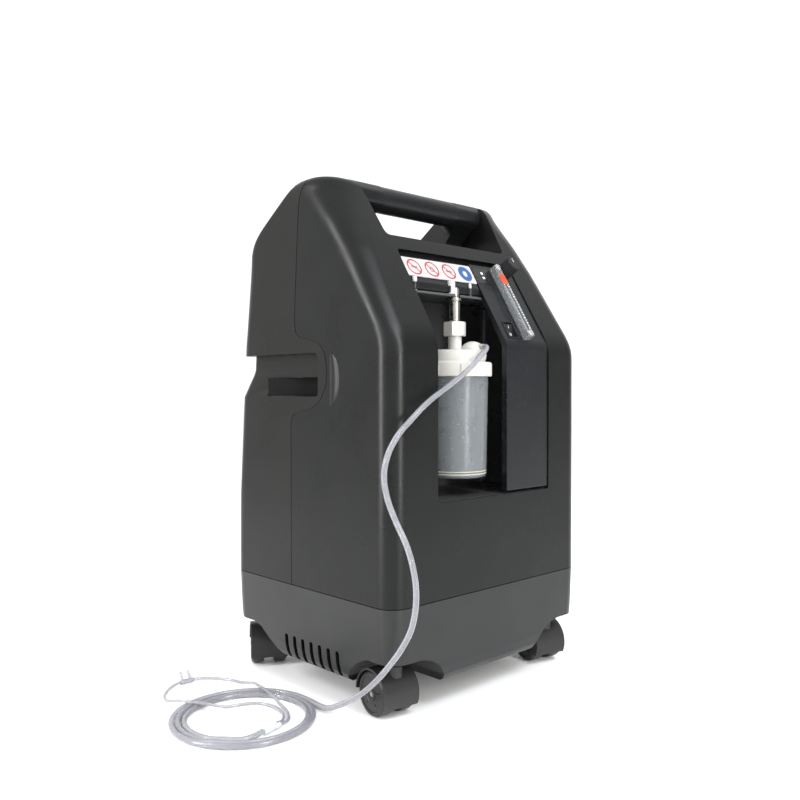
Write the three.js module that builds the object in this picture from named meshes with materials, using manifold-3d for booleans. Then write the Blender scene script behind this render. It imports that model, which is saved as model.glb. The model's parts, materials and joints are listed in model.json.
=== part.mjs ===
// Stationary oxygen concentrator with a bubble humidifier and a coiled nasal cannula.
// Millimetres, +Z up, the front faces -Y, the wheels stand on z = 0.
import * as THREE from 'three';
import { mergeVertices } from 'three/addons/utils/BufferGeometryUtils.js';
import Module from 'manifold-3d';

const wasm = await Module();
wasm.setup();

// ---------------------------------------------------------------- driving dimensions
const HALF_WIDTH = 171;
const HALF_DEPTH = 152;
const TOP_Z = 617;
const BASE_Z = 31;
const SEAM_Z = 127;
const BEND_Z = 418;
const WALL = 3;
const GAP = 0.3;
// The rear casters trail behind the cabinet, so the plan centre of the box lies behind its middle.
const PLAN_SHIFT_Y = -7.4;

// Sloped control face: it starts at the bend and leans back by this much for each mm of rise.
const SLOPE_LEAN = 0.6126;
const SLOPE_ANGLE = Math.atan2(1, SLOPE_LEAN);
const SLOPE_ORIGIN = new THREE.Vector3(0, -HALF_DEPTH, BEND_Z);

// Niche for the humidifier bottle and the control strip beside it.
const NICHE = { left: -103, right: 108, back: -38, floor: 236, ceiling: 474 };
const OPENING = { left: -100, right: 104, bottom: 236, top: 527 };
const PANEL = { left: 22, right: 103.4, bottom: 239, thickness: 8, top: 120 };
const BOTTLE = { x: -22, y: -105, jarTop: 379, jarBottom: 257, radius: 41, capRadius: 45 };

// Casters.
const STEM = { x: 137, y: 121 };
const TRAIL = 14;
const WHEEL_RADIUS = 25;
const WHEEL_INNER = 6;
const WHEEL_OUTER = 22.5;
const HOOD = { inner: 26.2, outer: 28.4, half: 23.5, bottom: 12 };
const WELL_Z = 66;

// ---------------------------------------------------------------- materials
function plastic(color, roughness = 0.5) {
  return new THREE.MeshStandardMaterial({ color, roughness, metalness: 0 });
}

function metal(color, roughness = 0.3) {
  return new THREE.MeshStandardMaterial({ color, roughness, metalness: 1 });
}

const COLOR = {
  casing: 0x2a2c2e,
  trim: 0x1b1c1e,
  caster: 0x3c3b39,
  panel: 0x2e3136,
  white: 0xe9e7df,
  label: 0xdedfdd,
  clear: 0xc9d3da,
  jar: 0xb4c4cf,
  water: 0x9fb4c2,
  tube: 0xd8d6e2,
  steel: 0xb9b6ad,
  rubber: 0x1a1a1a,
  board: 0x2c5b3c,
  foam: 0x3b3d40,
};

// ---------------------------------------------------------------- solids
function solid(geometry) {
  const bare = geometry.clone();
  bare.deleteAttribute('normal');
  bare.deleteAttribute('uv');
  const merged = mergeVertices(bare, 1e-4);
  const points = merged.attributes.position;
  const kept = [];
  let volume = 0;
  const corners = [new THREE.Vector3(), new THREE.Vector3(), new THREE.Vector3()];
  for (let i = 0; i < merged.index.count; i += 3) {
    const ids = [0, 1, 2].map((k) => merged.index.getX(i + k));
    if (ids[0] === ids[1] || ids[1] === ids[2] || ids[2] === ids[0]) continue;
    kept.push(...ids);
    corners.forEach((corner, k) => corner.fromBufferAttribute(points, ids[k]));
    volume += corners[0].dot(corners[1].clone().cross(corners[2]));
  }
  if (volume < 0) kept.reverse();
  const mesh = new wasm.Mesh({
    numProp: 3,
    vertProperties: new Float32Array(points.array),
    triVerts: new Uint32Array(kept),
  });
  return new wasm.Manifold(mesh);
}

function toGeometry(manifold) {
  const mesh = manifold.getMesh();
  const geometry = new THREE.BufferGeometry();
  geometry.setAttribute('position', new THREE.BufferAttribute(new Float32Array(mesh.vertProperties), 3));
  geometry.setIndex(new THREE.BufferAttribute(new Uint32Array(mesh.triVerts), 1));
  geometry.computeVertexNormals();
  return geometry;
}

function join(first, ...rest) {
  return rest.reduce((sum, piece) => sum.add(piece), first);
}

function cut(first, ...rest) {
  return rest.reduce((left, piece) => left.subtract(piece), first);
}

function box(x0, x1, y0, y1, z0, z1) {
  const geometry = new THREE.BoxGeometry(x1 - x0, y1 - y0, z1 - z0);
  geometry.translate((x0 + x1) / 2, (y0 + y1) / 2, (z0 + z1) / 2);
  return solid(geometry);
}

function extrude(outline, depth) {
  const shape = new THREE.Shape(outline.map(([u, v]) => new THREE.Vector2(u, v)));
  return new THREE.ExtrudeGeometry(shape, { depth, bevelEnabled: false, curveSegments: 6 });
}

const AXIS_X = new THREE.Vector3(1, 0, 0);
const AXIS_Y = new THREE.Vector3(0, 1, 0);
const AXIS_Z = new THREE.Vector3(0, 0, 1);

// Outline in (y, z), extruded along X.
function prismX(outline, x0, x1) {
  const geometry = extrude(outline, x1 - x0);
  geometry.applyMatrix4(new THREE.Matrix4().makeBasis(AXIS_Y, AXIS_Z, AXIS_X));
  geometry.translate(x0, 0, 0);
  return solid(geometry);
}

// Outline in (x, z), extruded along Y.
function prismY(outline, y0, y1) {
  const geometry = extrude(outline, y1 - y0);
  geometry.applyMatrix4(new THREE.Matrix4().makeBasis(AXIS_X, AXIS_Z, AXIS_Y.clone().negate()));
  geometry.translate(0, y1, 0);
  return solid(geometry);
}

// Outline in (x, y), extruded along Z.
function prismZ(outline, z0, z1) {
  const geometry = extrude(outline, z1 - z0);
  geometry.translate(0, 0, z0);
  return solid(geometry);
}

function lathe(profile, x = 0, y = 0, sides = 32) {
  const points = profile.map(([r, z]) => new THREE.Vector2(r, z));
  const geometry = new THREE.LatheGeometry(points, sides);
  geometry.rotateX(Math.PI / 2);
  geometry.translate(x, y, 0);
  return solid(geometry);
}

function rod(radius, x, y, z0, z1, sides = 16) {
  return lathe([[0, z0], [radius, z0], [radius, z1], [0, z1]], x, y, sides);
}

// Cylinder along an axis through a centre point.
function drum(radius, length, centre, axis, sides = 20) {
  const geometry = new THREE.CylinderGeometry(radius, radius, length, sides);
  geometry.applyQuaternion(new THREE.Quaternion().setFromUnitVectors(AXIS_Y, axis));
  geometry.translate(...centre);
  return solid(geometry);
}

function circle(radius, sides, start = 0) {
  return Array.from({ length: sides }, (_, i) => {
    const angle = start + (2 * Math.PI * i) / sides;
    return [radius * Math.cos(angle), radius * Math.sin(angle)];
  });
}

// Round tube along a smooth curve.
function tube(points, radius, steps, sides = 10) {
  const path = new THREE.CatmullRomCurve3(points.map((p) => new THREE.Vector3(...p)), false, 'centripetal');
  const shape = new THREE.Shape(circle(radius, sides).map(([u, v]) => new THREE.Vector2(u, v)));
  return solid(new THREE.ExtrudeGeometry(shape, { steps, extrudePath: path, bevelEnabled: false }));
}

// Piece drawn in the slope's own frame (x, distance up the slope, height above it), moved into place.
function onSlope(manifold) {
  const geometry = toGeometry(manifold);
  geometry.rotateX(SLOPE_ANGLE);
  geometry.translate(SLOPE_ORIGIN.x, SLOPE_ORIGIN.y, SLOPE_ORIGIN.z);
  return solid(geometry);
}

// ---------------------------------------------------------------- scene
const machine = new THREE.Group();
machine.position.y = PLAN_SHIFT_Y;

function add(name, manifold, material, parent = machine) {
  const mesh = new THREE.Mesh(toGeometry(manifold), material);
  mesh.name = name;
  parent.add(mesh);
  return mesh;
}

// ---------------------------------------------------------------- cabinet form
// The cabinet is a stack of rounded rectangles. Each row is z, half width, front y, back y, radius of the
// rear corners, radius of the front corners.
const SECTIONS = [
  [31, 155, -138, 139, 18, 18],
  [34, 160, -143, 144, 20, 20],
  [40, 164, -147, 148, 22, 22],
  [52, 167, -150, 150, 24, 24],
  [80, 169, -151.5, 151.5, 24, 24],
  [127, 171, -152, 152, 24, 24],
  [219, 171, -152, 152, 24, 24],
  [405, 171, -152, 138.5, 24, 24],
  [413, 171, -151.2, 138, 24, 24],
  [421, 170.9, -148.5, 137.6, 24, 24],
  [430, 170.7, -144.6, 137, 25, 25],
  [500, 168.8, -101.8, 132, 26, 30],
  [522, 168.5, -88.3, 129, 24, 33],
  [534, 168.3, -80.9, 126, 20, 36],
  [544, 168.1, -74.8, 121.5, 18, 39],
  [553, 168, -69.3, 114, 16, 41],
  [562, 167.8, -63.8, 103.5, 15, 44],
  [580, 167.3, -52.8, 77.5, 14, 53],
  [598, 166.2, -42, 52.5, 14, 60],
  [604, 165, -38, 44.5, 14, 58],
  [609, 162.5, -33, 37, 13, 51],
  [613, 158.5, -27, 29, 11, 42],
  [616, 152.5, -18, 18, 8, 26],
  [TOP_Z, 147, -9, 9, 5, 11],
];
const CORNER_STEPS = 5;

function roundedRectangle(halfWidth, front, back, rearRadius, frontRadius) {
  const corners = [
    [halfWidth - rearRadius, back - rearRadius, 0, rearRadius],
    [-halfWidth + rearRadius, back - rearRadius, 1, rearRadius],
    [-halfWidth + frontRadius, front + frontRadius, 2, frontRadius],
    [halfWidth - frontRadius, front + frontRadius, 3, frontRadius],
  ];
  const outline = [];
  for (const [x, y, quarter, radius] of corners) {
    for (let step = 0; step <= CORNER_STEPS; step += 1) {
      const angle = (quarter + step / CORNER_STEPS) * (Math.PI / 2);
      outline.push([x + radius * Math.cos(angle), y + radius * Math.sin(angle)]);
    }
  }
  return outline;
}

function sectionAt(z) {
  const last = SECTIONS.length - 1;
  let upper = SECTIONS.findIndex((row) => row[0] >= z);
  if (upper < 0) upper = last;
  if (upper === 0) upper = 1;
  const low = SECTIONS[upper - 1];
  const high = SECTIONS[upper];
  const t = (z - low[0]) / (high[0] - low[0]);
  return low.map((value, i) => value + (high[i] - value) * t);
}

// Closed loft through the stack. Inset moves every wall inwards by a distance that may change with z.
function loft(levels, inset) {
  const rings = levels.map((z) => {
    const [, halfWidth, front, back, ...radii] = sectionAt(z);
    const depth = inset(z);
    const [rear, fore] = radii.map((radius) => Math.max(radius - depth, 1));
    const outline = roundedRectangle(halfWidth - depth, front + depth, back - depth, rear, fore);
    return outline.map(([x, y]) => [x, y, z]);
  });
  const size = rings[0].length;
  const positions = rings.flat(2);
  const index = [];
  for (let ring = 0; ring < rings.length - 1; ring += 1) {
    for (let i = 0; i < size; i += 1) {
      const j = (i + 1) % size;
      const a = ring * size + i;
      const b = ring * size + j;
      index.push(a, b, b + size, a, b + size, a + size);
    }
  }
  const top = (rings.length - 1) * size;
  for (let i = 1; i < size - 1; i += 1) {
    index.push(0, i + 1, i);
    index.push(top, top + i, top + i + 1);
  }
  const geometry = new THREE.BufferGeometry();
  geometry.setAttribute('position', new THREE.Float32BufferAttribute(positions, 3));
  geometry.setIndex(index);
  return solid(geometry);
}

const allLevels = SECTIONS.map((row) => row[0]);
const outerForm = loft(allLevels, () => 0);
const innerLevels = allLevels.filter((z) => z > BASE_Z + WALL && z < 600).concat([600, 606]);
const innerForm = loft([BASE_Z + WALL, ...innerLevels], (z) => (z > BEND_Z ? WALL + 1 : WALL));

// Line between the front cover and the rear shell on the side of the cabinet, as (y, z).
const PARTING = [
  [25, 100], [25, 325], [20, 333], [-14, 340], [-31, 349], [-42, 367], [-43.6, 384], [-40, 405],
  [-31, 414], [-14, 420], [8, 424], [16, 430], [19, 446], [17, 528], [14, 587], [9, 607], [9, 700],
];
const FAR = 400;

function frontSide(offset) {
  const line = PARTING.map(([y, z]) => [y - offset, z]);
  return prismX([...line, [-FAR, 700], [-FAR, 100]], -FAR, FAR);
}

function rearSide(offset) {
  const line = PARTING.map(([y, z]) => [y + offset, z]);
  return prismX([[FAR, 100], [FAR, 700], ...line.reverse()], -FAR, FAR);
}

// Hand grips: a groove along both sides and round the rear corners. Its top edge overhangs and its lower
// face slopes out to the lip. Under it, towards the front, lies a deeper slot for the fingers.
const GRIP = { front: -27, top: 405, shelf: 384, lip: 350, depth: 13, back: 92 };
const FINGER = { depth: 24, top: 377, bottom: 354, fade: 30, end: 78, endDepth: 3 };

function gripTool(grow) {
  const levels = [GRIP.lip - grow, GRIP.shelf, GRIP.top + grow];
  const waist = loft(levels, (z) => (z < GRIP.lip + 1 ? -1 : GRIP.depth + grow));
  const band = loft(levels, () => -6);
  const ring = band.subtract(waist);
  const left = box(-FAR, -GRIP.back + grow, GRIP.front - grow, FAR, 300, 450);
  const right = box(GRIP.back - grow, FAR, GRIP.front - grow, FAR, 300, 450);
  const inner = HALF_WIDTH - FINGER.depth - grow;
  const slot = [
    [inner, GRIP.front - grow], [FAR, GRIP.front - grow], [FAR, FINGER.end + grow],
    [HALF_WIDTH - FINGER.endDepth - grow, FINGER.end + grow], [inner, FINGER.fade + grow],
  ];
  const [low, high] = [FINGER.bottom - grow, FINGER.top + grow];
  const slots = prismZ(slot, low, high).add(prismZ(mirrored(slot), low, high));
  return ring.intersect(left.add(right)).add(slots);
}

// Saddle at the top that the carry handle fits into.
const SADDLE = { floor: 544, halfBottom: 107, halfTop: 118 };

function saddleTool(grow) {
  const outline = [
    [-SADDLE.halfBottom - grow, SADDLE.floor - grow],
    [SADDLE.halfBottom + grow, SADDLE.floor - grow],
    [SADDLE.halfTop + grow, 640],
    [-SADDLE.halfTop - grow, 640],
  ];
  return prismY(outline, -FAR, FAR);
}

// Wheel arches cut out of the corners of the base.
const FRONT_ARCH = [[80, 20], [84, 40], [96, 55], [110, 63], [125, WELL_Z], [200, WELL_Z], [200, 20]];
const FRONT_SIDE_ARCH = [
  [-70, 20], [-71, 38], [-79, 48], [-94, 60], [-108, WELL_Z], [-200, WELL_Z], [-200, 20],
];
const REAR_SIDE_ARCH = [[54, 20], [57, 34], [91, 61], [106, WELL_Z], [200, WELL_Z], [200, 20]];

function offsetArch(outline, grow, sign) {
  return outline.map(([u, z]) => {
    const shifted = Math.abs(u) < 199 ? u - sign * grow : u;
    return [shifted, z > 30 ? z + grow : z];
  });
}

function mirrored(outline) {
  return outline.map(([u, z]) => [-u, z]).reverse();
}

function wellTool(grow) {
  const front = offsetArch(FRONT_ARCH, grow, 1);
  const sides = [
    offsetArch(FRONT_SIDE_ARCH, grow, -1).reverse(),
    offsetArch(REAR_SIDE_ARCH, grow, 1),
  ];
  const across = prismY(front, -FAR, FAR).add(prismY(mirrored(front), -FAR, FAR));
  const along = prismX(sides[0], -FAR, FAR).add(prismX(sides[1], -FAR, FAR));
  return across.intersect(along);
}

const shellOuter = outerForm.subtract(saddleTool(0)).subtract(gripTool(0));
const shellInner = innerForm.subtract(saddleTool(WALL)).subtract(gripTool(WALL));

// ---------------------------------------------------------------- base tub
const VENT = { count: 7, pitch: 16.2, first: 39.6, width: 6, bottom: 35, top: 64 };

function ventCutters() {
  const cutters = [];
  for (let i = 0; i < VENT.count; i += 1) {
    const y = VENT.first - i * VENT.pitch;
    for (const side of [-1, 1]) {
      const x0 = side > 0 ? 150 : -FAR;
      const x1 = side > 0 ? FAR : -150;
      cutters.push(box(x0, x1, y - VENT.width / 2, y + VENT.width / 2, VENT.bottom, VENT.top));
    }
  }
  return cutters;
}

function baseTub() {
  const below = box(-FAR, FAR, -FAR, FAR, 0, SEAM_Z - GAP / 2);
  const outer = outerForm.intersect(below).subtract(wellTool(0));
  const inner = innerForm.intersect(box(-FAR, FAR, -FAR, FAR, 0, SEAM_Z + 10)).subtract(wellTool(WALL));
  let tub = outer.subtract(inner);
  for (const x of [-STEM.x, STEM.x]) {
    for (const y of [-STEM.y, STEM.y]) {
      tub = tub.add(rod(10, x, y, 60, 88, 12)).subtract(rod(6, x, y, 50, 84, 10));
    }
  }
  return cut(tub, ...ventCutters());
}

add('base_tub', baseTub(), plastic(COLOR.casing, 0.55));

// ---------------------------------------------------------------- front cover and rear shell
const above = box(-FAR, FAR, -FAR, FAR, SEAM_Z + GAP / 2, TOP_Z + 50);

function frontCover() {
  const window = box(OPENING.left, OPENING.right, -FAR, -70, OPENING.bottom, OPENING.top);
  return shellOuter.subtract(shellInner).intersect(above).intersect(frontSide(GAP / 2)).subtract(window);
}

const FILTER = { half: 55, bottom: 250, top: 330 };
const INLET = { x: 62, z: 172, halfWidth: 14, halfHeight: 10.5 };
const BREAKER = { x: 18, z: 172, radius: 5 };

function rearShell() {
  const filterHole = box(-FILTER.half, FILTER.half, 120, FAR, FILTER.bottom, FILTER.top);
  const inletHole = box(
    INLET.x - INLET.halfWidth - GAP, INLET.x + INLET.halfWidth + GAP, 120, FAR,
    INLET.z - INLET.halfHeight - GAP, INLET.z + INLET.halfHeight + GAP,
  );
  const breakerHole = drum(BREAKER.radius + GAP, 60, [BREAKER.x, 150, BREAKER.z], AXIS_Y);
  const shell = shellOuter.subtract(shellInner).intersect(above).intersect(rearSide(GAP / 2));
  return cut(shell, filterHole, inletHole, breakerHole);
}

add('front_cover', frontCover(), plastic(COLOR.casing, 0.45));
add('rear_shell', rearShell(), plastic(COLOR.casing, 0.55));

// ---------------------------------------------------------------- carry handle
// A round bar along the ridge. At each end it swells into a foot that stands on the saddle floor.
const HANDLE = { y: -12, z: 600.5, radius: 16.5, facet: 585, footInner: 78, footFront: 4.4, wall: 4 };

// Rear slope of the cabinet under the ridge.
const ridgeBack = (z) => 9 + (607 - z) * 1.43;

function carryHandle() {
  const foot = SADDLE.floor + GAP;
  const wedge = prismY(
    [
      [-SADDLE.halfBottom + GAP, foot],
      [SADDLE.halfBottom - GAP, foot],
      [SADDLE.halfTop - GAP, 640],
      [-SADDLE.halfTop + GAP, 640],
    ],
    -FAR, FAR,
  );
  const { footInner, footFront, wall } = HANDLE;
  const bar = drum(HANDLE.radius, 260, [0, HANDLE.y, HANDLE.z], AXIS_X, 32);
  const facet = box(-footInner, footInner, -FAR, FAR, 0, HANDLE.facet);
  const side = [
    [ridgeBack(foot), foot], [ridgeBack(603), 603], [10, 612], [0, 616], [HANDLE.y, 616.5], [-22, 614],
    [-28, 605], [-28, 595], [-21, 586], [-8, 578], [0, 572], [footFront, 562], [footFront, foot],
  ];
  const coreTop = 584;
  const coreFoot = foot - 5;
  const core = [
    [ridgeBack(coreFoot) - wall, coreFoot], [ridgeBack(coreTop) - wall, coreTop],
    [footFront + wall, coreTop], [footFront + wall, coreFoot],
  ];
  const outer = SADDLE.halfBottom - WALL;
  let handle = bar.subtract(facet);
  for (const [x0, x1, inner0, inner1] of [
    [-130, -footInner, -outer, -footInner - WALL],
    [footInner, 130, footInner + WALL, outer],
  ]) {
    handle = handle.add(prismX(side, x0, x1).subtract(prismX(core, inner0, inner1)));
  }
  return handle.intersect(wedge);
}

add('carry_handle', carryHandle(), plastic(COLOR.trim, 0.5));

// ---------------------------------------------------------------- niche
function alcoveLiner() {
  const n = NICHE;
  const front = (z) => -HALF_DEPTH + Math.max(z - BEND_Z, 0) * SLOPE_LEAN + 2 * WALL + 0.5;
  const outline = [
    [n.back + WALL, n.floor - WALL], [n.back + WALL, n.ceiling + WALL],
    [front(n.ceiling + WALL), n.ceiling + WALL], [front(BEND_Z), BEND_Z], [front(0), n.floor - WALL],
  ];
  const outer = prismX(outline, n.left - WALL, n.right + WALL);
  const hollow = box(n.left, n.right, -FAR, n.back, n.floor, n.ceiling);
  const behindStrip = box(PANEL.left - 1, n.right, -FAR, -96, BEND_Z, FAR * 2);
  const outletHole = rod(6.5, BOTTLE.x, BOTTLE.y, 460, 490, 12);
  return cut(outer, hollow, behindStrip, outletHole);
}

add('alcove_liner', alcoveLiner(), plastic(COLOR.trim, 0.4));

// Sloped bridge over the niche: it carries the label and the oxygen outlet.
const BRIDGE = { left: -99.5, right: 21.5, front: -107, back: -60, bottom: 478, top: 518.5 };
// Upright wall behind the bridge and the control strip. It closes the recess above them.
const BACKING = { right: 103.5, front: -72, top: 532 };
const COLUMNS = [-92, -30, 4];

function outletBlock() {
  const slope = (z) => -HALF_DEPTH + (z - BEND_Z) * SLOPE_LEAN + 3;
  const outline = [
    [BRIDGE.back, BRIDGE.bottom], [BRIDGE.back, BRIDGE.top], [slope(BRIDGE.top), BRIDGE.top],
    [slope(491), 491], [BRIDGE.front, 487], [BRIDGE.front, BRIDGE.bottom],
  ].reverse();
  const backing = box(BRIDGE.left, BACKING.right, BACKING.front, BRIDGE.back, BRIDGE.bottom, BACKING.top);
  let block = prismX(outline, BRIDGE.left, BRIDGE.right).add(backing);
  for (const x of COLUMNS) block = block.add(rod(6, x, BRIDGE.front + 2, BRIDGE.bottom, 486, 12));
  return block.subtract(rod(5.7, BOTTLE.x, BOTTLE.y, 470, 485.3));
}

add('outlet_block', outletBlock(), plastic(COLOR.trim, 0.35));
// Thick between the humidifier nut and the niche ceiling, thin inside them.
const OUTLET = { thin: 5.4, thick: 8.4 };
add('outlet_tube', lathe([
  [0, 431], [OUTLET.thin, 431], [OUTLET.thin, 444.6], [OUTLET.thick, 444.6], [OUTLET.thick, 473],
  [OUTLET.thin, 473], [OUTLET.thin, 485], [0, 485],
], BOTTLE.x, BOTTLE.y, 16), metal(COLOR.steel, 0.2));

const LABEL = { left: -99, right: 20.5, low: 90, high: 117 };

function slopePlate(left, right, low, high, under, over) {
  return onSlope(box(left, right, low, high, under, over));
}

add('label_plate', slopePlate(LABEL.left, LABEL.right, LABEL.low, LABEL.high, -2.2, -1),
  plastic(COLOR.label, 0.4));

// ---------------------------------------------------------------- control strip
const SWITCH = { x: 42, s: 22, halfWidth: 10, halfHeight: 12 };
const FLOW = { x: 66, low: 8, high: 118, half: 5.8 };
const KNOB = { x: 84, s: 113, radius: 10.5 };
const WINDOW = { left: 26, right: 54, low: 92, high: 116 };

function controlPanel() {
  const lean = (z) => -HALF_DEPTH + (z - BEND_Z) * SLOPE_LEAN;
  const topZ = BEND_Z + PANEL.top * Math.sin(SLOPE_ANGLE);
  const skin = 1.5;
  const deep = skin + PANEL.thickness;
  const outline = [
    [-HALF_DEPTH + skin, PANEL.bottom],
    [-HALF_DEPTH + deep, PANEL.bottom],
    [-HALF_DEPTH + deep, BEND_Z],
    [lean(topZ) + deep, topZ],
    [lean(topZ) + skin, topZ],
    [-HALF_DEPTH + skin + 0.4, BEND_Z],
  ];
  const strip = prismX(outline, PANEL.left, PANEL.right);
  const switchHole = onSlope(box(
    SWITCH.x - SWITCH.halfWidth - GAP, SWITCH.x + SWITCH.halfWidth + GAP,
    SWITCH.s - SWITCH.halfHeight - GAP, SWITCH.s + SWITCH.halfHeight + GAP, -40, 40,
  ));
  const flowGroove = onSlope(box(FLOW.x - FLOW.half - GAP, FLOW.x + FLOW.half + GAP, FLOW.low - GAP,
    FLOW.high + GAP, -5, 40));
  const knobHole = onSlope(rod(4.3, KNOB.x, KNOB.s, -40, 40));
  const pocket = onSlope(box(WINDOW.left - GAP, WINDOW.right + GAP, WINDOW.low - GAP,
    WINDOW.high + GAP, -4, 40));
  return cut(strip, switchHole, flowGroove, knobHole, pocket);
}

add('control_panel', controlPanel(), plastic(COLOR.panel, 0.35));
add('indicator_window', slopePlate(WINDOW.left, WINDOW.right, WINDOW.low, WINDOW.high, -3.7, -1),
  plastic(COLOR.trim, 0.15));

function flowmeterBody() {
  const block = box(FLOW.x - FLOW.half, FLOW.x + FLOW.half, FLOW.low, FLOW.high, -4.7, 8);
  const bore = new THREE.CylinderGeometry(4, 3.4, 86, 14);
  bore.translate(FLOW.x, 60, 2);
  const slit = box(FLOW.x - 1.2, FLOW.x + 1.2, 17, 103, 2, 9);
  return onSlope(cut(block, solid(bore), slit));
}

add('flowmeter_body', flowmeterBody(), plastic(COLOR.clear, 0.1));
add('flowmeter_float', onSlope(solid(new THREE.SphereGeometry(2.9, 10, 6).translate(FLOW.x, 22, 2))),
  metal(COLOR.steel, 0.25));

function flowmeterKnob() {
  const profile = [[0, -9], [4, -9], [4, 1], [KNOB.radius, 1], [KNOB.radius, 20], [9.2, 22], [0, 22]];
  const knob = lathe(profile, KNOB.x, KNOB.s, 20);
  return onSlope(knob);
}

add('flowmeter_knob', flowmeterKnob(), plastic(COLOR.rubber, 0.5));

function switchBezel() {
  const w = SWITCH.halfWidth;
  const h = SWITCH.halfHeight;
  const frame = box(SWITCH.x - w, SWITCH.x + w, SWITCH.s - h, SWITCH.s + h, -16, -1);
  const hole = box(SWITCH.x - w + 1.5, SWITCH.x + w - 1.5, SWITCH.s - h + 1, SWITCH.s + h - 1, -13, 9);
  return onSlope(frame.subtract(hole));
}

// Every corner of the rocker stays within 10.8 mm of its pivot, so that it turns freely in its frame.
const ROCKER = { half: 8, reach: 9.4 };

function powerRocker() {
  const outline = [
    [-ROCKER.reach, -4.4], [0, -3.4], [ROCKER.reach, -0.8], [ROCKER.reach - 0.8, -5.4], [2.5, -9],
    [-2.5, -9], [-ROCKER.reach + 0.8, -9],
  ].map(([v, w]) => [SWITCH.s + v, w]).reverse();
  return onSlope(prismX(outline, SWITCH.x - ROCKER.half, SWITCH.x + ROCKER.half));
}

add('switch_bezel', switchBezel(), plastic(COLOR.rubber, 0.4));
add('power_rocker', powerRocker(), plastic(COLOR.rubber, 0.35));

// ---------------------------------------------------------------- humidifier
function humidifierNut() {
  const hexagon = prismZ(circle(14, 6, Math.PI / 6), 427, 444).translate([BOTTLE.x, BOTTLE.y, 0]);
  return hexagon.subtract(rod(5.4 + GAP, BOTTLE.x, BOTTLE.y, 430, 460, 20))
    .subtract(rod(8.3 + GAP, BOTTLE.x, BOTTLE.y, 420, 430, 20));
}

const DOME = { x: BOTTLE.x + 19, y: BOTTLE.y - 12, z: 404, radius: 17 };
const NOZZLE_TIP = [-4, -134.5, 414];

function humidifierLid() {
  const b = BOTTLE;
  const capTop = 395;
  const cap = lathe([
    [0, 383], [b.radius - 3, 383], [b.radius - 3, b.jarTop + GAP], [b.capRadius - 3, b.jarTop + GAP],
    [b.capRadius - 3, 378], [b.capRadius, 378], [b.capRadius, capTop], [37, capTop + 0.5],
    [36, 408.4], [34.8, 409.6], [8.3, 410], [8.3, 429.5], [3.2, 429.5], [3.2, 395], [0, 395],
  ], b.x, b.y, 24);
  const dome = new THREE.SphereGeometry(DOME.radius, 14, 8);
  dome.translate(DOME.x, DOME.y, DOME.z);
  const above = box(-FAR, FAR, -FAR, FAR, capTop, 500);
  const nozzle = drum(3.1, 14, [NOZZLE_TIP[0], NOZZLE_TIP[1] + 7, NOZZLE_TIP[2]], AXIS_Y, 12);
  const bore = drum(1.6, 12, [NOZZLE_TIP[0], NOZZLE_TIP[1] + 3, NOZZLE_TIP[2]], AXIS_Y, 8);
  return cap.add(solid(dome).intersect(above)).add(nozzle).subtract(bore);
}

function humidifierJar() {
  const b = BOTTLE;
  const r = b.radius;
  const low = 38;
  return lathe([
    [0, b.jarBottom], [low - 4, b.jarBottom], [low - 1, b.jarBottom + 1.5], [low, b.jarBottom + 5],
    [r - 0.6, b.jarTop], [r - 3, b.jarTop], [low - 2.4, b.jarBottom + 6], [low - 5, b.jarBottom + 3],
    [0, b.jarBottom + 3],
  ], b.x, b.y, 32);
}

const WATER_TOP = 310;
const DIP = { top: [BOTTLE.x, BOTTLE.y, 382.5], bottom: [BOTTLE.x + 12, BOTTLE.y - 10, 284], radius: 3 };
const RELIEF = { x: BOTTLE.x + 16, y: BOTTLE.y - 12, bottom: 327, radius: 4.5 };

function dipTube() {
  const end = DIP.bottom;
  const middle = [(DIP.top[0] + end[0]) / 2, (DIP.top[1] + end[1]) / 2, 333];
  const stem = tube([DIP.top, middle, end], DIP.radius, 4, 10);
  return stem.add(rod(6.5, end[0], end[1], 270, 284.5, 12));
}

function waterFill() {
  const b = BOTTLE;
  const wallAt = (z) => 35.6 + ((z - 263) / 116) * 2.4 - GAP - 0.2;
  const body = lathe([
    [0, b.jarBottom + 3 + GAP], [32.5, b.jarBottom + 3 + GAP], [wallAt(263), 263.5],
    [wallAt(WATER_TOP), WATER_TOP], [0, WATER_TOP],
  ], b.x, b.y, 32);
  const end = DIP.bottom;
  const clearance = tube(
    [DIP.top, [(DIP.top[0] + end[0]) / 2, (DIP.top[1] + end[1]) / 2, 333], end], DIP.radius + GAP, 4, 10,
  );
  return body.subtract(clearance).subtract(rod(6.5 + GAP, end[0], end[1], 270 - GAP, 320, 12));
}

add('humidifier_nut', humidifierNut(), plastic(COLOR.white, 0.4));
add('humidifier_lid', humidifierLid(), plastic(COLOR.white, 0.4));
add('humidifier_jar', humidifierJar(), plastic(COLOR.jar, 0.15));
add('humidifier_dip_tube', dipTube(), plastic(COLOR.clear, 0.2));
add('humidifier_relief_tube', rod(RELIEF.radius, RELIEF.x, RELIEF.y, RELIEF.bottom, 382.5, 14),
  plastic(COLOR.clear, 0.2));
add('humidifier_water', waterFill(), plastic(COLOR.water, 0.05));

// ---------------------------------------------------------------- rear fittings
const backAt = (z) => sectionAt(z)[3];

function rearGrille() {
  const y = backAt(FILTER.top) - 1;
  let grille = box(-FILTER.half + GAP, FILTER.half - GAP, y - 4, y, FILTER.bottom + GAP, FILTER.top - GAP);
  for (let i = 0; i < 7; i += 1) {
    const z = FILTER.bottom + 10 + i * 10;
    grille = grille.subtract(box(-FILTER.half + 6, FILTER.half - 6, y - 10, y + 10, z - 2.5, z + 2.5));
  }
  return grille;
}

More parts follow.
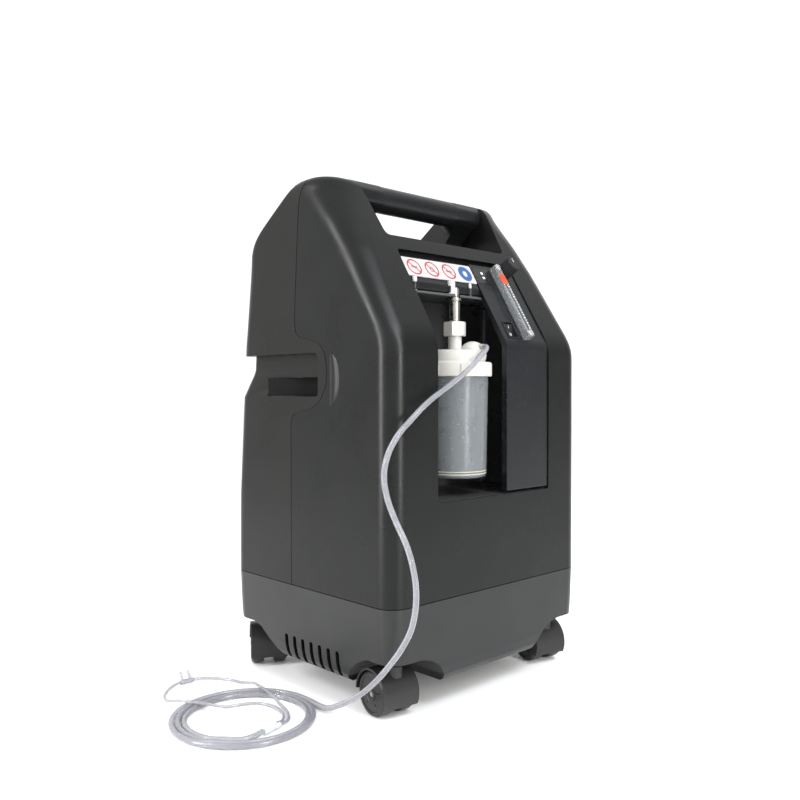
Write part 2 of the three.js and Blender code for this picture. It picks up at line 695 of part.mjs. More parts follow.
add('rear_grille', rearGrille(), plastic(COLOR.trim, 0.55));
add('cabinet_filter', box(-50, 50, backAt(FILTER.top) - 15, backAt(FILTER.top) - 5 - GAP,
  FILTER.bottom + 4, FILTER.top - 4), plastic(COLOR.foam, 0.95));

function powerInlet() {
  const { x, z, halfWidth, halfHeight } = INLET;
  const y = backAt(z);
  const flange = box(x - halfWidth - 4, x + halfWidth + 4, y + GAP, y + 2.5,
    z - halfHeight - 3, z + halfHeight + 3);
  const body = box(x - halfWidth, x + halfWidth, y - 24, y + 1, z - halfHeight, z + halfHeight);
  const well = box(x - halfWidth + 2.5, x + halfWidth - 2.5, y - 18, y + 10,
    z - halfHeight + 2.5, z + halfHeight - 2.5);
  const pins = [-7, 0, 7].map((dx) => box(x + dx - 1, x + dx + 1, y - 20, y - 4, z - 2, z + 2));
  return join(flange.add(body).subtract(well), ...pins);
}

function breakerButton() {
  const y = backAt(BREAKER.z);
  return drum(BREAKER.radius, 14, [BREAKER.x, y - 2, BREAKER.z], AXIS_Y, 16);
}

add('power_inlet', powerInlet(), plastic(COLOR.rubber, 0.5));
add('breaker_button', breakerButton(), plastic(COLOR.white, 0.4));

// ---------------------------------------------------------------- machinery inside
const DECK_Z = 226;

function compressor() {
  const motor = drum(44, 120, [0, 20, 104], AXIS_X, 24);
  let unit = motor;
  for (const side of [-1, 1]) {
    unit = unit.add(box(side * 76 - 22, side * 76 + 22, -6, 46, 80, 166));
    unit = unit.add(box(side * 76 - 26, side * 76 + 26, -10, 50, 166, 178));
    unit = unit.add(box(side * 50 - 8, side * 50 + 8, -28, 68, 48.4, 70));
  }
  return unit;
}

add('compressor', compressor(), metal(0x8f9294, 0.5));
for (const [tag, x] of [['left', -50], ['right', 50]]) {
  const outline = [[x - 10, 34.3], [x + 10, 34.3], [x + 6, 41], [x + 10, 48], [x - 10, 48], [x - 6, 41]];
  add(`compressor_mount_${tag}`, prismY(outline, -30, 70), plastic(COLOR.rubber, 0.9));
}

function deck() {
  const plate = box(-160, 160, -30, 138, DECK_Z, DECK_Z + 3);
  return plate.subtract(rod(52, 0, 50, 200, 250, 28));
}

add('chassis_deck', deck(), metal(0x9a9da0, 0.5));

const FAN = { x: 0, y: 50, low: 192, high: 217 };

function fanFrame() {
  const frame = box(-60, 60, FAN.y - 60, FAN.y + 60, FAN.low, FAN.high);
  const hub = rod(16, FAN.x, FAN.y, FAN.low, FAN.low + 4, 16);
  const pin = rod(2.5, FAN.x, FAN.y, FAN.low, FAN.high - 3, 10);
  const struts = box(-58, 58, FAN.y - 2.5, FAN.y + 2.5, FAN.low, FAN.low + 4);
  return join(frame.subtract(rod(56, FAN.x, FAN.y, 180, 230, 32)), hub, pin, struts);
}

function fanImpeller() {
  let rotor = rod(18, FAN.x, FAN.y, FAN.low + 5, FAN.high - 1, 20);
  for (let i = 0; i < 7; i += 1) {
    const blade = new THREE.BoxGeometry(37, 18, 2);
    blade.rotateX(0.6);
    blade.translate(34, 0, 0);
    blade.rotateZ((i * 2 * Math.PI) / 7);
    blade.translate(FAN.x, FAN.y, (FAN.low + FAN.high) / 2 + 2);
    rotor = rotor.add(solid(blade));
  }
  return rotor.subtract(rod(2.8, FAN.x, FAN.y, FAN.low, FAN.high - 2, 10));
}

add('fan_frame', fanFrame(), plastic(COLOR.trim, 0.5));
add('fan_impeller', fanImpeller(), plastic(COLOR.trim, 0.5));

function sieveBed(x) {
  return lathe([
    [0, 230], [33, 230], [33, 242], [30, 243], [30, 458], [33, 459], [33, 471], [0, 471],
  ], x, 60, 20);
}

add('sieve_bed_left', sieveBed(-108), metal(0xaeb1b3, 0.4));
add('sieve_bed_right', sieveBed(-36), metal(0xaeb1b3, 0.4));
add('product_tank', lathe([[0, 230], [24, 230], [30, 238], [30, 380], [24, 388], [0, 388]], 36, 60, 20),
  metal(0xaeb1b3, 0.4));
add('valve_manifold', box(-98, -46, 18, 100, 472, 492), metal(0x9a9da0, 0.4));
add('intake_filter', lathe([
  [0, 230], [22, 230], [26, 236], [26, 300], [12, 308], [12, 320], [0, 320],
], 104, 60, 18), plastic(COLOR.foam, 0.7));
add('circuit_board', box(150, 153, -25, 105, 236, 335), plastic(COLOR.board, 0.6));

// ---------------------------------------------------------------- casters
function sector(radius, from, to, steps) {
  return Array.from({ length: steps + 1 }, (_, i) => {
    const angle = from + ((to - from) * i) / steps;
    return [TRAIL - radius * Math.cos(angle), WHEEL_RADIUS + radius * Math.sin(angle)];
  });
}

// Swivel body about a vertical stem at the origin; the axle trails along +Y.
function casterFork() {
  const from = Math.asin((HOOD.bottom - WHEEL_RADIUS) / HOOD.outer);
  const ring = [...sector(HOOD.outer, from, Math.PI, 9), ...sector(HOOD.inner, from, Math.PI, 9).reverse()];
  const hood = prismX(ring, -HOOD.half, HOOD.half);
  const rim = sector(HOOD.inner + 1, from, Math.PI, 9);
  const web = [[TRAIL, WHEEL_RADIUS - 7], ...rim, [TRAIL + 8, WHEEL_RADIUS - 5]];
  const plate = prismX(web, -WHEEL_INNER + 1, WHEEL_INNER - 1);
  const boss = rod(8.5, 0, 0, 46, 58, 12);
  const clearance = drum(HOOD.inner, 100, [0, TRAIL, WHEEL_RADIUS], AXIS_X, 24)
    .subtract(box(-WHEEL_INNER + 1, WHEEL_INNER - 1, -FAR, FAR, -FAR, FAR));
  const stem = rod(5.5, 0, 0, 50, 82, 10);
  const bore = drum(3 + GAP, 60, [0, TRAIL, WHEEL_RADIUS], AXIS_X, 14);
  return join(hood, plate, boss.subtract(clearance), stem).subtract(bore);
}

function casterWheel(side) {
  const r = WHEEL_RADIUS;
  const rounded = lathe([
    [3 + GAP, WHEEL_INNER], [r - 3, WHEEL_INNER], [r, WHEEL_INNER + 3], [r, WHEEL_OUTER - 3],
    [r - 2.5, WHEEL_OUTER], [3 + GAP, WHEEL_OUTER], [3 + GAP, WHEEL_INNER],
  ], 0, 0, 20);
  const geometry = toGeometry(rounded);
  geometry.rotateY((side * Math.PI) / 2);
  geometry.translate(0, TRAIL, WHEEL_RADIUS);
  return solid(geometry);
}

const CASTERS = [
  ['front_left', -1, -1, 6],
  ['front_right', 1, -1, 14],
  ['rear_left', -1, 1, 31],
  ['rear_right', 1, 1, -20],
];
for (const [tag, sideX, sideY, yaw] of CASTERS) {
  const caster = new THREE.Group();
  caster.position.set(sideX * STEM.x, sideY * STEM.y, 0);
  caster.rotation.z = -THREE.MathUtils.degToRad(yaw);
  machine.add(caster);
  add(`caster_${tag}_fork`, casterFork(), plastic(COLOR.caster, 0.6), caster);
  add(`caster_${tag}_axle`, drum(3, 2 * WHEEL_OUTER - 1, [0, TRAIL, WHEEL_RADIUS], AXIS_X, 14),
    metal(COLOR.steel, 0.4), caster);
  add(`caster_${tag}_wheel_left`, casterWheel(-1), plastic(COLOR.caster, 0.6), caster);
  add(`caster_${tag}_wheel_right`, casterWheel(1), plastic(COLOR.caster, 0.6), caster);
}

// ---------------------------------------------------------------- oxygen tube and cannula
const TUBE_RADIUS = 3.1;
const STRAND_RADIUS = 1.7;

// Centre line of the hose from the humidifier outlet down to the floor.
const DROP = [
  [-4, -135.4, 414], [-5.5, -141.5, 413.2], [-14, -147, 408.6], [-28, -150.5, 401.5], [-44, -155.5, 391.8],
  [-66.6, -158, 378.9], [-95, -160, 364.3], [-117.5, -162, 353.8], [-138.6, -165, 342.6],
  [-159.4, -168, 329.3], [-178, -171.5, 317.5], [-189, -169, 301], [-192, -165, 285], [-193, -164.5, 269],
  [-192, -169, 249.5], [-190.5, -179, 229], [-190, -194, 207], [-190, -204, 184], [-190, -208, 164],
  [-190, -207, 144], [-190, -201, 123], [-190, -188, 102], [-190, -171, 81.5], [-191, -152, 61],
  [-191, -125, 38.5], [-191, -92, 18.5], [-189.5, -66, 6.2],
];

// Flat coil lying on the floor beside the machine.
const COIL = { x: -264, y: -16, inner: 58.5, outer: 84.4, height: 6.5 };

// Y connector inside the coil: its place, its heading and the spread of its outlets.
const FORK = { x: -262, y: -62, z: 4.9, heading: 0.24, half: 12, spread: 3 };

// The two thin strands of the cannula cross the coil and meet at the nasal prongs.
const STRAND_RIGHT = [
  [-233, -53.5, 2.4], [-222, -38, 2.4], [-216, -20, 2.8], [-214.5, -8, 5.2],
  [-213, 4, 7.9], [-211.5, 15, 9.5],
  [-210, 27, 10], [-208, 40, 9.8], [-206, 53, 8.9], [-205, 67, 5.6], [-206, 82, 2.6], [-210, 98, 2.4],
  [-219, 114, 2.4], [-231, 127.5, 2.5], [-241.7, 130.9, 3],
];
const STRAND_LEFT = [
  [-239, -50.5, 2.4], [-229, -39, 2.4], [-224, -24, 2.4], [-223, -8, 2.4], [-227, 7, 2.4], [-238, 17, 2.4],
  [-252, 22.5, 2.4], [-264, 25.5, 3.2], [-274, 30, 6], [-282, 36, 8.6], [-289, 43.5, 9.8], [-295, 52, 10],
  [-299.5, 62, 9.4], [-302, 74, 6.4], [-302, 88, 3], [-297, 103, 2.4], [-287, 116, 2.4], [-273, 127.5, 2.5],
  [-262.3, 130.9, 3],
];
const PRONGS = { x: -252, y: 131, z: 3, half: 9.2, radius: 2.8 };

function forkPoint(along, across) {
  const c = Math.cos(FORK.heading);
  const s = Math.sin(FORK.heading);
  return [FORK.x + along * c - across * s, FORK.y + along * s + across * c, FORK.z];
}

function yConnector() {
  const heading = new THREE.Vector3(Math.cos(FORK.heading), Math.sin(FORK.heading), 0);
  const barrel = drum(4.6, FORK.half + 2, forkPoint(-FORK.half / 2 + 1, 0), heading, 14);
  const web = drum(4.2, 4, forkPoint(2.5, 0), heading, 14);
  const outlets = [-1, 1].map((side) => (
    drum(2.5, FORK.half - 1, forkPoint(6.5, side * FORK.spread), heading, 10)
  ));
  return join(barrel, web, ...outlets);
}

function nasalProngs() {
  const { x, y, z, half, radius } = PRONGS;
  let piece = drum(radius, 2 * half, [x, y, z], AXIS_X, 12);
  const lean = new THREE.Vector3(0, 0.6, 0.8);
  for (const side of [-5, 5]) {
    piece = piece.add(drum(1.9, 13, [x + side, y + 4.2, z + 5.6], lean, 10));
  }
  return piece;
}

const clear = plastic(COLOR.tube, 0.15);
add('oxygen_tube_drop', tube(DROP, TUBE_RADIUS, 46, 10), clear);
add('oxygen_tube_coil', lathe([
  [COIL.inner, 0.2], [COIL.outer - 1.5, 0.2], [COIL.outer, 3.3], [COIL.outer - 1.5, COIL.height],
  [COIL.inner, COIL.height], [COIL.inner, 0.2],
], COIL.x, COIL.y, 40), clear.clone());
add('y_connector', yConnector(), plastic(COLOR.clear, 0.25));
const strand = (side, points, steps) => (
  tube([forkPoint(FORK.half + 0.8, side * FORK.spread), ...points], STRAND_RADIUS, steps, 8)
);
add('cannula_strand_right', strand(-1, STRAND_RIGHT, 18), clear.clone());
add('cannula_strand_left', strand(1, STRAND_LEFT, 22), clear.clone());
add('nasal_prongs', nasalProngs(), plastic(COLOR.clear, 0.25));

export default machine;
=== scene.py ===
"""Upright oxygen concentrator on casters, with its humidifier bottle and coiled cannula tube.

Pieces are modelled in the machine's own millimetres (front at -Y, floor at z = 0) and brought
into the shared frame by to_frame(). Every surface has a procedural material.
"""

import json
import math

import bmesh
import bpy
import numpy as np
from mathutils import Matrix, Vector


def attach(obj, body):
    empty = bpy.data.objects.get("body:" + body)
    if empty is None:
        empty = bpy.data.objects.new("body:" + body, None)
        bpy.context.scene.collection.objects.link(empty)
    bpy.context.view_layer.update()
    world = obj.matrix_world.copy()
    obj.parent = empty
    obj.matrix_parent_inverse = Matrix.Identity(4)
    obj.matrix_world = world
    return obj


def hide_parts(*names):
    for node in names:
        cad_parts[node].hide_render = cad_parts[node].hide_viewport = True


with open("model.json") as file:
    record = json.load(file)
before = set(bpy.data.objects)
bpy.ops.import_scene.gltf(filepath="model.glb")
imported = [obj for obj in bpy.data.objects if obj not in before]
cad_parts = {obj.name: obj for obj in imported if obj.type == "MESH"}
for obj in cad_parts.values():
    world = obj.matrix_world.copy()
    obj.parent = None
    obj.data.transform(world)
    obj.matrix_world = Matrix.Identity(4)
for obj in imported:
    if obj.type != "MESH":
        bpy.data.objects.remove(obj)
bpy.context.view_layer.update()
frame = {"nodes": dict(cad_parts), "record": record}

MM = 0.001
SHIFT_Y = -7.4  # machine frame to shared frame, in mm


def to_frame(x, y, z):
    return Vector((x * MM, (y + SHIFT_Y) * MM, z * MM))


# ---------------------------------------------------------------- camera
CAMERA_AT = Vector((-0.7694, -0.7992, 0.3630))
CAMERA_TARGET = Vector((-0.0135, -0.0074, 0.3485))
camera_data = bpy.data.cameras.new("camera")
camera_data.lens = 37.54
camera_data.sensor_width = 36
camera_data.clip_start = 0.01
camera = bpy.data.objects.new("camera", camera_data)
camera.location = CAMERA_AT
camera.rotation_euler = (CAMERA_TARGET - CAMERA_AT).to_track_quat("-Z", "Y").to_euler()
bpy.context.scene.collection.objects.link(camera)
bpy.context.scene.camera = camera


# ---------------------------------------------------------------- materials
class Shader:
    """A Principled material with small helpers for procedural detail, in object space."""

    def __init__(self, name, color, roughness, metallic=0.0):
        self.material = bpy.data.materials.new(name)
        self.material.use_nodes = True
        self.tree = self.material.node_tree
        self.bsdf = self.tree.nodes["Principled BSDF"]
        self.color = color
        self.bsdf.inputs["Base Color"].default_value = (*color, 1)
        self.bsdf.inputs["Roughness"].default_value = roughness
        self.bsdf.inputs["Metallic"].default_value = metallic
        self.position = self.node("ShaderNodeTexCoord").outputs["Object"]
        self.height = None

    def node(self, kind, **settings):
        made = self.tree.nodes.new(kind)
        for key, value in settings.items():
            setattr(made, key, value)
        return made

    def link(self, source, target):
        self.tree.links.new(source, target)

    def set(self, **sockets):
        for key, value in sockets.items():
            self.bsdf.inputs[key.replace("_", " ")].default_value = value
        return self

    def noise(self, scale, detail=3.0, roughness=0.55, stretch=None):
        made = self.node("ShaderNodeTexNoise")
        made.inputs["Scale"].default_value = scale
        made.inputs["Detail"].default_value = detail
        made.inputs["Roughness"].default_value = roughness
        source = self.position
        if stretch:
            mapping = self.node("ShaderNodeMapping")
            mapping.inputs["Scale"].default_value = stretch
            self.link(self.position, mapping.inputs["Vector"])
            source = mapping.outputs["Vector"]
        self.link(source, made.inputs["Vector"])
        return made.outputs["Fac"]

    def cells(self, scale, feature="F1"):
        made = self.node("ShaderNodeTexVoronoi", feature=feature)
        made.inputs["Scale"].default_value = scale
        self.link(self.position, made.inputs["Vector"])
        return made.outputs["Distance"]

    def spread(self, source, low, high, from_low=0.3, from_high=0.7):
        made = self.node("ShaderNodeMapRange")
        made.inputs["From Min"].default_value = from_low
        made.inputs["From Max"].default_value = from_high
        made.inputs["To Min"].default_value = low
        made.inputs["To Max"].default_value = high
        self.link(source, made.inputs["Value"])
        return made.outputs["Result"]

    def math(self, operation, a, b):
        made = self.node("ShaderNodeMath", operation=operation)
        for socket, value in zip(made.inputs, (a, b)):
            if isinstance(value, (int, float)):
                socket.default_value = value
            else:
                self.link(value, socket)
        return made.outputs[0]

    def mix(self, factor, a, b):
        made = self.node("ShaderNodeMix", data_type="RGBA")
        for socket, value in ((made.inputs["Factor"], factor), (made.inputs[6], a), (made.inputs[7], b)):
            if isinstance(value, tuple):
                socket.default_value = (*value, 1)
            elif isinstance(value, (int, float)):
                socket.default_value = value
            else:
                self.link(value, socket)
        return made.outputs[2]

    def tint(self, amount, scale, detail=3.0):
        """Slow colour variation about the base colour, by a share of it."""
        light = tuple(min(c * (1 + amount), 1.0) for c in self.color)
        dark = tuple(c * (1 - amount) for c in self.color)
        factor = self.spread(self.noise(scale, detail), 0, 1)
        self.link(self.mix(factor, dark, light), self.bsdf.inputs["Base Color"])
        return self

    def gloss(self, low, high, scale, detail=4.0):
        factor = self.noise(scale, detail)
        self.link(self.spread(factor, low, high), self.bsdf.inputs["Roughness"])
        return self

    def bump(self, source, distance, strength=1.0):
        made = self.node("ShaderNodeBump")
        made.inputs["Strength"].default_value = strength
        made.inputs["Distance"].default_value = distance
        self.link(source, made.inputs["Height"])
        if self.height is not None:
            self.link(self.height, made.inputs["Normal"])
        self.height = made.outputs["Normal"]
        self.link(self.height, self.bsdf.inputs["Normal"])
        return self

    def done(self, slot):
        self.material["slot"] = slot
        return self.material


def moulded(name, slot, color, rough, grain=1500, depth=0.00004, spread=0.06, tint=0.12, specular=0.28):
    """Textured injection-moulded plastic: fine spark-erosion grain, slow tone and gloss changes."""
    shader = Shader(name, color, rough).set(Specular_IOR_Level=specular)
    shader.tint(tint, 9)
    shader.gloss(rough - spread, rough + spread, 22)
    shader.bump(shader.noise(grain, 2.0, 0.6), depth, 0.5)
    shader.bump(shader.noise(35, 2.0), 0.0002, 0.06)
    return shader.done(slot)


def smooth_plastic(name, slot, color, rough, spread=0.05, tint=0.05):
    shader = Shader(name, color, rough)
    shader.tint(tint, 14)
    shader.gloss(rough - spread, rough + spread, 60)
    shader.bump(shader.noise(90, 3.0), 0.0001, 0.12)
    return shader.done(slot)


def clear_plastic(name, slot, color, rough, transmission=0.9, ior=1.45, alpha=1.0):
    shader = Shader(name, color, rough)
    shader.set(Transmission_Weight=transmission, IOR=ior, Alpha=alpha)
    shader.tint(0.03, 18)
    shader.gloss(max(rough - 0.05, 0.02), rough + 0.08, 120)
    shader.bump(shader.noise(140, 2.0), 0.0001, 0.1)
    return shader.done(slot)


def metal_surface(name, slot, color, rough, stretch=None, scale=400):
    shader = Shader(name, color, rough, metallic=1.0)
    shader.tint(0.06, 20)
    shader.gloss(max(rough - 0.07, 0.03), rough + 0.08, 40)
    shader.bump(shader.noise(scale, 3.0, stretch=stretch), 0.00004, 0.25)
    return shader.done(slot)


CASING = moulded("casing_charcoal", "casing", (0.0056, 0.0058, 0.0058), 0.30, specular=0.18)
CASING_REAR = moulded("casing_rear", "casing", (0.0068, 0.0069, 0.0063), 0.32, specular=0.18)
# The base tub is the casing's charcoal plastic, with its colour raised to about twice the casing's: a painted
# reflection of the white floor.
BASE_PAINTED_FLOOR_LIGHT = moulded("base_charcoal_painted_floor_light", "casing", (0.0125, 0.0127, 0.0129), 0.36, specular=0.29)
TRIM = moulded("trim_black", "trim", (0.0060, 0.0064, 0.0070), 0.32)
LINER = moulded("liner_black", "liner", (0.0420, 0.0425, 0.0440), 0.30, grain=1100, specular=0.4)
STRIP = moulded("panel_charcoal", "panel", (0.0070, 0.0077, 0.0090), 0.27, grain=1700, depth=0.00003)
CASTER = moulded("caster_nylon", "caster_plastic", (0.018, 0.0172, 0.0172), 0.36, grain=700, depth=0.00008)
IVORY = smooth_plastic("ivory_plastic", "white_plastic", (0.48, 0.468, 0.436), 0.36)
IVORY.node_tree.nodes["Principled BSDF"].inputs["Subsurface Weight"].default_value = 0.12
IVORY.node_tree.nodes["Principled BSDF"].inputs["Subsurface Scale"].default_value = 0.004
NICKEL = metal_surface("nickel_plate", "nickel", (0.40, 0.38, 0.345), 0.26, stretch=(1, 1, 0.05))
STEEL = metal_surface("turned_steel", "steel", (0.5, 0.5, 0.5), 0.32)
ALLOY = metal_surface("cast_alloy", "machine_aluminium", (0.55, 0.56, 0.57), 0.5, scale=250)
GLOSS_BLACK = smooth_plastic("gloss_black", "black_gloss", (0.008, 0.008, 0.009), 0.16)
MATT_BLACK = moulded("matt_black", "black_plastic", (0.011, 0.011, 0.012), 0.45, grain=1900)
JAR = clear_plastic("jar_frosted", "jar_plastic", (0.36, 0.385, 0.40), 0.20, transmission=0.72, ior=1.3)
WATER = clear_plastic("still_water", "water", (0.93, 0.97, 0.98), 0.02, transmission=1.0, ior=1.2)
CLEAR = clear_plastic("clear_moulding", "clear_plastic", (0.93, 0.95, 0.97), 0.12, transmission=0.85)
VINYL = clear_plastic("vinyl_tube", "tubing", (0.43, 0.43, 0.465), 0.14, transmission=0.66, ior=1.42)


# ---------------------------------------------------------------- cords
TUBE_R = 3.1
STRAND_R = 1.7
DROP = [
    (-4, -135.4, 414), (-4.6, -138.5, 413.8), (-5.5, -141.5, 413.2), (-14, -147, 408.6),
    (-28, -150.5, 401.5), (-44, -155.5, 391.8),
    (-66.6, -158, 378.9), (-95, -160, 364.3), (-117.5, -162, 353.8), (-138.6, -165, 342.6),
    (-159.4, -168, 329.3), (-178, -171.5, 317.5), (-189, -169, 301), (-192, -165, 285), (-193, -164.5, 269),
    (-192, -169, 249.5), (-190.5, -179, 229), (-190, -194, 207), (-190, -204, 184), (-190, -208, 164),
    (-190, -207, 144), (-190, -201, 123), (-190, -188, 102), (-190, -171, 81.5), (-191, -152, 61),
    (-191, -125, 38.5), (-191, -92, 18.5), (-188.5, -64, 6.6),
]
COIL = (-264, -16)
FORK = (-262, -62, 4.9)
FORK_HEADING = 0.24
FORK_HALF = 12
FORK_SPREAD = 3
STRAND_RIGHT = [
    (-233, -53.5, 2.4), (-222, -38, 2.4), (-216, -20, 2.8), (-214.5, -8, 5.2), (-213, 4, 7.9),
    (-211.5, 15, 9.5),
    (-210, 27, 10), (-208, 40, 9.8), (-206, 53, 8.9), (-205, 67, 5.6), (-206, 82, 2.6), (-210, 98, 2.4),
    (-219, 114, 2.4), (-231, 127.5, 2.5), (-241.7, 130.9, 3),
]
STRAND_LEFT = [
    (-239, -50.5, 2.4), (-229, -39, 2.4), (-224, -24, 2.4), (-223, -8, 2.4), (-227, 7, 2.4), (-238, 17, 2.4),
    (-252, 22.5, 2.4), (-264, 25.5, 3.2), (-274, 30, 6), (-282, 36, 8.6), (-289, 43.5, 9.8), (-295, 52, 10),
    (-299.5, 62, 9.4), (-302, 74, 6.4), (-302, 88, 3), (-297, 103, 2.4), (-287, 116, 2.4), (-273, 127.5, 2.5),
    (-262.3, 130.9, 3),
]
PRONGS = (-252, 131, 3)


def fork_point(along, across):
    c, s = math.cos(FORK_HEADING), math.sin(FORK_HEADING)
    return (FORK[0] + along * c - across * s, FORK[1] + along * s + across * c, FORK[2])


def smooth_path(points, spacing):
    """Centripetal Catmull-Rom through the points, resampled evenly."""
    p = [np.array(q, float) for q in points]
    p = [2 * p[0] - p[1], *p, 2 * p[-1] - p[-2]]
    out = []
    for i in range(1, len(p) - 2):
        p0, p1, p2, p3 = p[i - 1 : i + 3]
        t = [0.0]
        for a, b in ((p0, p1), (p1, p2), (p2, p3)):
            t.append(t[-1] + max(np.linalg.norm(b - a), 1e-6) ** 0.5)
        for u in np.linspace(t[1], t[2], 14, endpoint=False):
            a1 = (t[1] - u) / (t[1] - t[0]) * p0 + (u - t[0]) / (t[1] - t[0]) * p1
            a2 = (t[2] - u) / (t[2] - t[1]) * p1 + (u - t[1]) / (t[2] - t[1]) * p2
            a3 = (t[3] - u) / (t[3] - t[2]) * p2 + (u - t[2]) / (t[3] - t[2]) * p3
            b1 = (t[2] - u) / (t[2] - t[0]) * a1 + (u - t[0]) / (t[2] - t[0]) * a2
            b2 = (t[3] - u) / (t[3] - t[1]) * a2 + (u - t[1]) / (t[3] - t[1]) * a3
            out.append((t[2] - u) / (t[2] - t[1]) * b1 + (u - t[1]) / (t[2] - t[1]) * b2)
    out.append(p[-2])
    out = np.array(out)
    steps = np.r_[0, np.cumsum(np.linalg.norm(np.diff(out, axis=0), axis=1))]
    count = max(int(steps[-1] / spacing), 4)
    at = np.linspace(0, steps[-1], count + 1)
    return np.stack([np.interp(at, steps, out[:, k]) for k in range(3)], 1), steps[-1]


def cord_curve(name, points, radius, material, spacing=3.0):
    path, length = smooth_path(points, spacing)
    data = bpy.data.curves.new(name, "CURVE")
    data.dimensions = "3D"
    data.bevel_depth = radius * MM
    data.bevel_resolution = 4
    data.use_fill_caps = True
    spline = data.splines.new("POLY")
    spline.points.add(len(path) - 1)
    for point, place in zip(spline.points, path):
        point.co = (*to_frame(*place), 1)
    data.materials.append(material)
    made = bpy.data.objects.new(name, data)
    bpy.context.scene.collection.objects.link(made)
    return made, length * MM


def coil_points():
    """Just under three turns that wind inwards side by side, then run to the fork."""
    points = []
    turns_end = 360 * 2 + 205
    for angle in range(-6, turns_end, 15):
        share = (angle + 6) / 360
        radius = 81.0 - 6.6 * share
        wander = 1.0 * math.sin(math.radians(angle * 0.7))
        lift = 3.4 + 0.25 * (1 - math.cos(math.radians(angle)))
        a = math.radians(angle)
        points.append(
            (
                COIL[0] + (radius + wander * 0.4) * math.cos(a),
                COIL[1] + (radius + wander * 0.4) * math.sin(a), lift,
            )
        )
    points += [(-312, -52, 3.6), (-300, -65.5, 3.9), (-287, -67.6, 4.3), fork_point(-FORK_HALF - 1.2, 0)]
    return points


main_points = DROP + coil_points()
oxygen_tube, main_length = cord_curve("oxygen_tube", main_points, TUBE_R, VINYL)
right_strand, right_length = cord_curve(
    "strand_right", [fork_point(FORK_HALF + 0.4, -FORK_SPREAD), *STRAND_RIGHT], STRAND_R, VINYL,
)
left_strand, left_length = cord_curve(
    "strand_left", [fork_point(FORK_HALF + 0.4, FORK_SPREAD), *STRAND_LEFT], STRAND_R, VINYL,
)
print("LENGTHS", main_length, right_length, left_length)


# ---------------------------------------------------------------- modelling kit
def build(name, points, faces, material=None):
    """A mesh object from points in machine millimetres."""
    data = bpy.data.meshes.new(name)
    data.from_pydata([tuple(p) for p in points], [], faces)
    data.update()
    if material:
        data.materials.append(material)
    made = bpy.data.objects.new(name, data)
    bpy.context.scene.collection.objects.link(made)
    return made


def outward(obj):
    mesh = bmesh.new()
    mesh.from_mesh(obj.data)
    bmesh.ops.remove_doubles(mesh, verts=mesh.verts, dist=1e-4)
    bmesh.ops.recalc_face_normals(mesh, faces=mesh.faces)
    mesh.to_mesh(obj.data)
    mesh.free()
    return obj


def loft(rings, name="part"):
    """Closed solid through a stack of equal rings."""
    size = len(rings[0])
    points = [p for ring in rings for p in ring]
    faces = []
    for k in range(len(rings) - 1):
        for i in range(size):
            j = (i + 1) % size
            faces.append((k * size + i, k * size + j, (k + 1) * size + j, (k + 1) * size + i))
    faces.append(tuple(range(size))[::-1])
    faces.append(tuple((len(rings) - 1) * size + i for i in range(size)))
    return outward(build(name, points, faces))


def prism(outline, axis, low, high, name="prism"):
    """Outline pairs are (y, z) along x, (x, z) along y and (x, y) along z."""
    place = {
        "x": lambda u, v, w: (w, u, v),
        "y": lambda u, v, w: (u, w, v),
        "z": lambda u, v, w: (u, v, w),
    }[axis]
    return loft([[place(u, v, w) for u, v in outline] for w in (low, high)], name)


def block(x0, x1, y0, y1, z0, z1, name="block"):
    return prism([(x0, y0), (x1, y0), (x1, y1), (x0, y1)], "z", z0, z1, name)


def rounded(outline, radius, steps=5):
    """Outline with its corners filleted. Radius is one number or one for each corner."""
    count = len(outline)
    radii = radius if isinstance(radius, (list, tuple)) else [radius] * count
    out = []
    for i, corner in enumerate(outline):
        c = np.array(corner, float)
        a = np.array(outline[i - 1], float) - c
        b = np.array(outline[(i + 1) % count], float) - c
        la, lb = np.linalg.norm(a), np.linalg.norm(b)
        a, b = a / la, b / lb
        half = math.acos(max(-1, min(1, float(a @ b)))) / 2
        if radii[i] < 0.05 or half > math.pi / 2 - 0.02:
            out.append(tuple(c))
            continue
        reach = min(radii[i] / math.tan(half), 0.48 * la, 0.48 * lb)
        r = reach * math.tan(half)
        centre = c + (a + b) / np.linalg.norm(a + b) * r / math.sin(half)
        start = c + a * reach - centre
        end = c + b * reach - centre
        s0 = math.atan2(start[1], start[0])
        turn = math.atan2(end[1], end[0]) - s0
        turn = (turn + math.pi) % (2 * math.pi) - math.pi
        for k in range(steps + 1):
            angle = s0 + turn * k / steps
            out.append((centre[0] + r * math.cos(angle), centre[1] + r * math.sin(angle)))
    return out


def rounded_block(x0, x1, y0, y1, z0, z1, axis, radius, steps=5, name="block"):
    pairs = {"x": (y0, y1, z0, z1, x0, x1), "y": (x0, x1, z0, z1, y0, y1), "z": (x0, x1, y0, y1, z0, z1)}
    a0, a1, b0, b1, low, high = pairs[axis]
    return prism(rounded([(a0, b0), (a1, b0), (a1, b1), (a0, b1)], radius, steps), axis, low, high, name)


def lathe(profile, x=0.0, y=0.0, sides=64, name="lathe", closed=False):
    """Solid of revolution about a vertical axis. Open profiles start and end on the axis."""
    points, faces, rows = [], [], []
    for r, z in profile:
        if r < 1e-6:
            rows.append([len(points)] * sides)
            points.append((x, y, z))
        else:
            rows.append(list(range(len(points), len(points) + sides)))
            for k in range(sides):
                a = 2 * math.pi * k / sides
                points.append((x + r * math.cos(a), y + r * math.sin(a), z))
    pairs = list(zip(rows[:-1], rows[1:])) + ([(rows[-1], rows[0])] if closed else [])
    for low, high in pairs:
        for k in range(sides):
            j = (k + 1) % sides
            face = []
            for v in (low[k], low[j], high[j], high[k]):
                if v not in face:
                    face.append(v)
            if len(face) > 2:
                faces.append(tuple(face))
    return outward(build(name, points, faces))


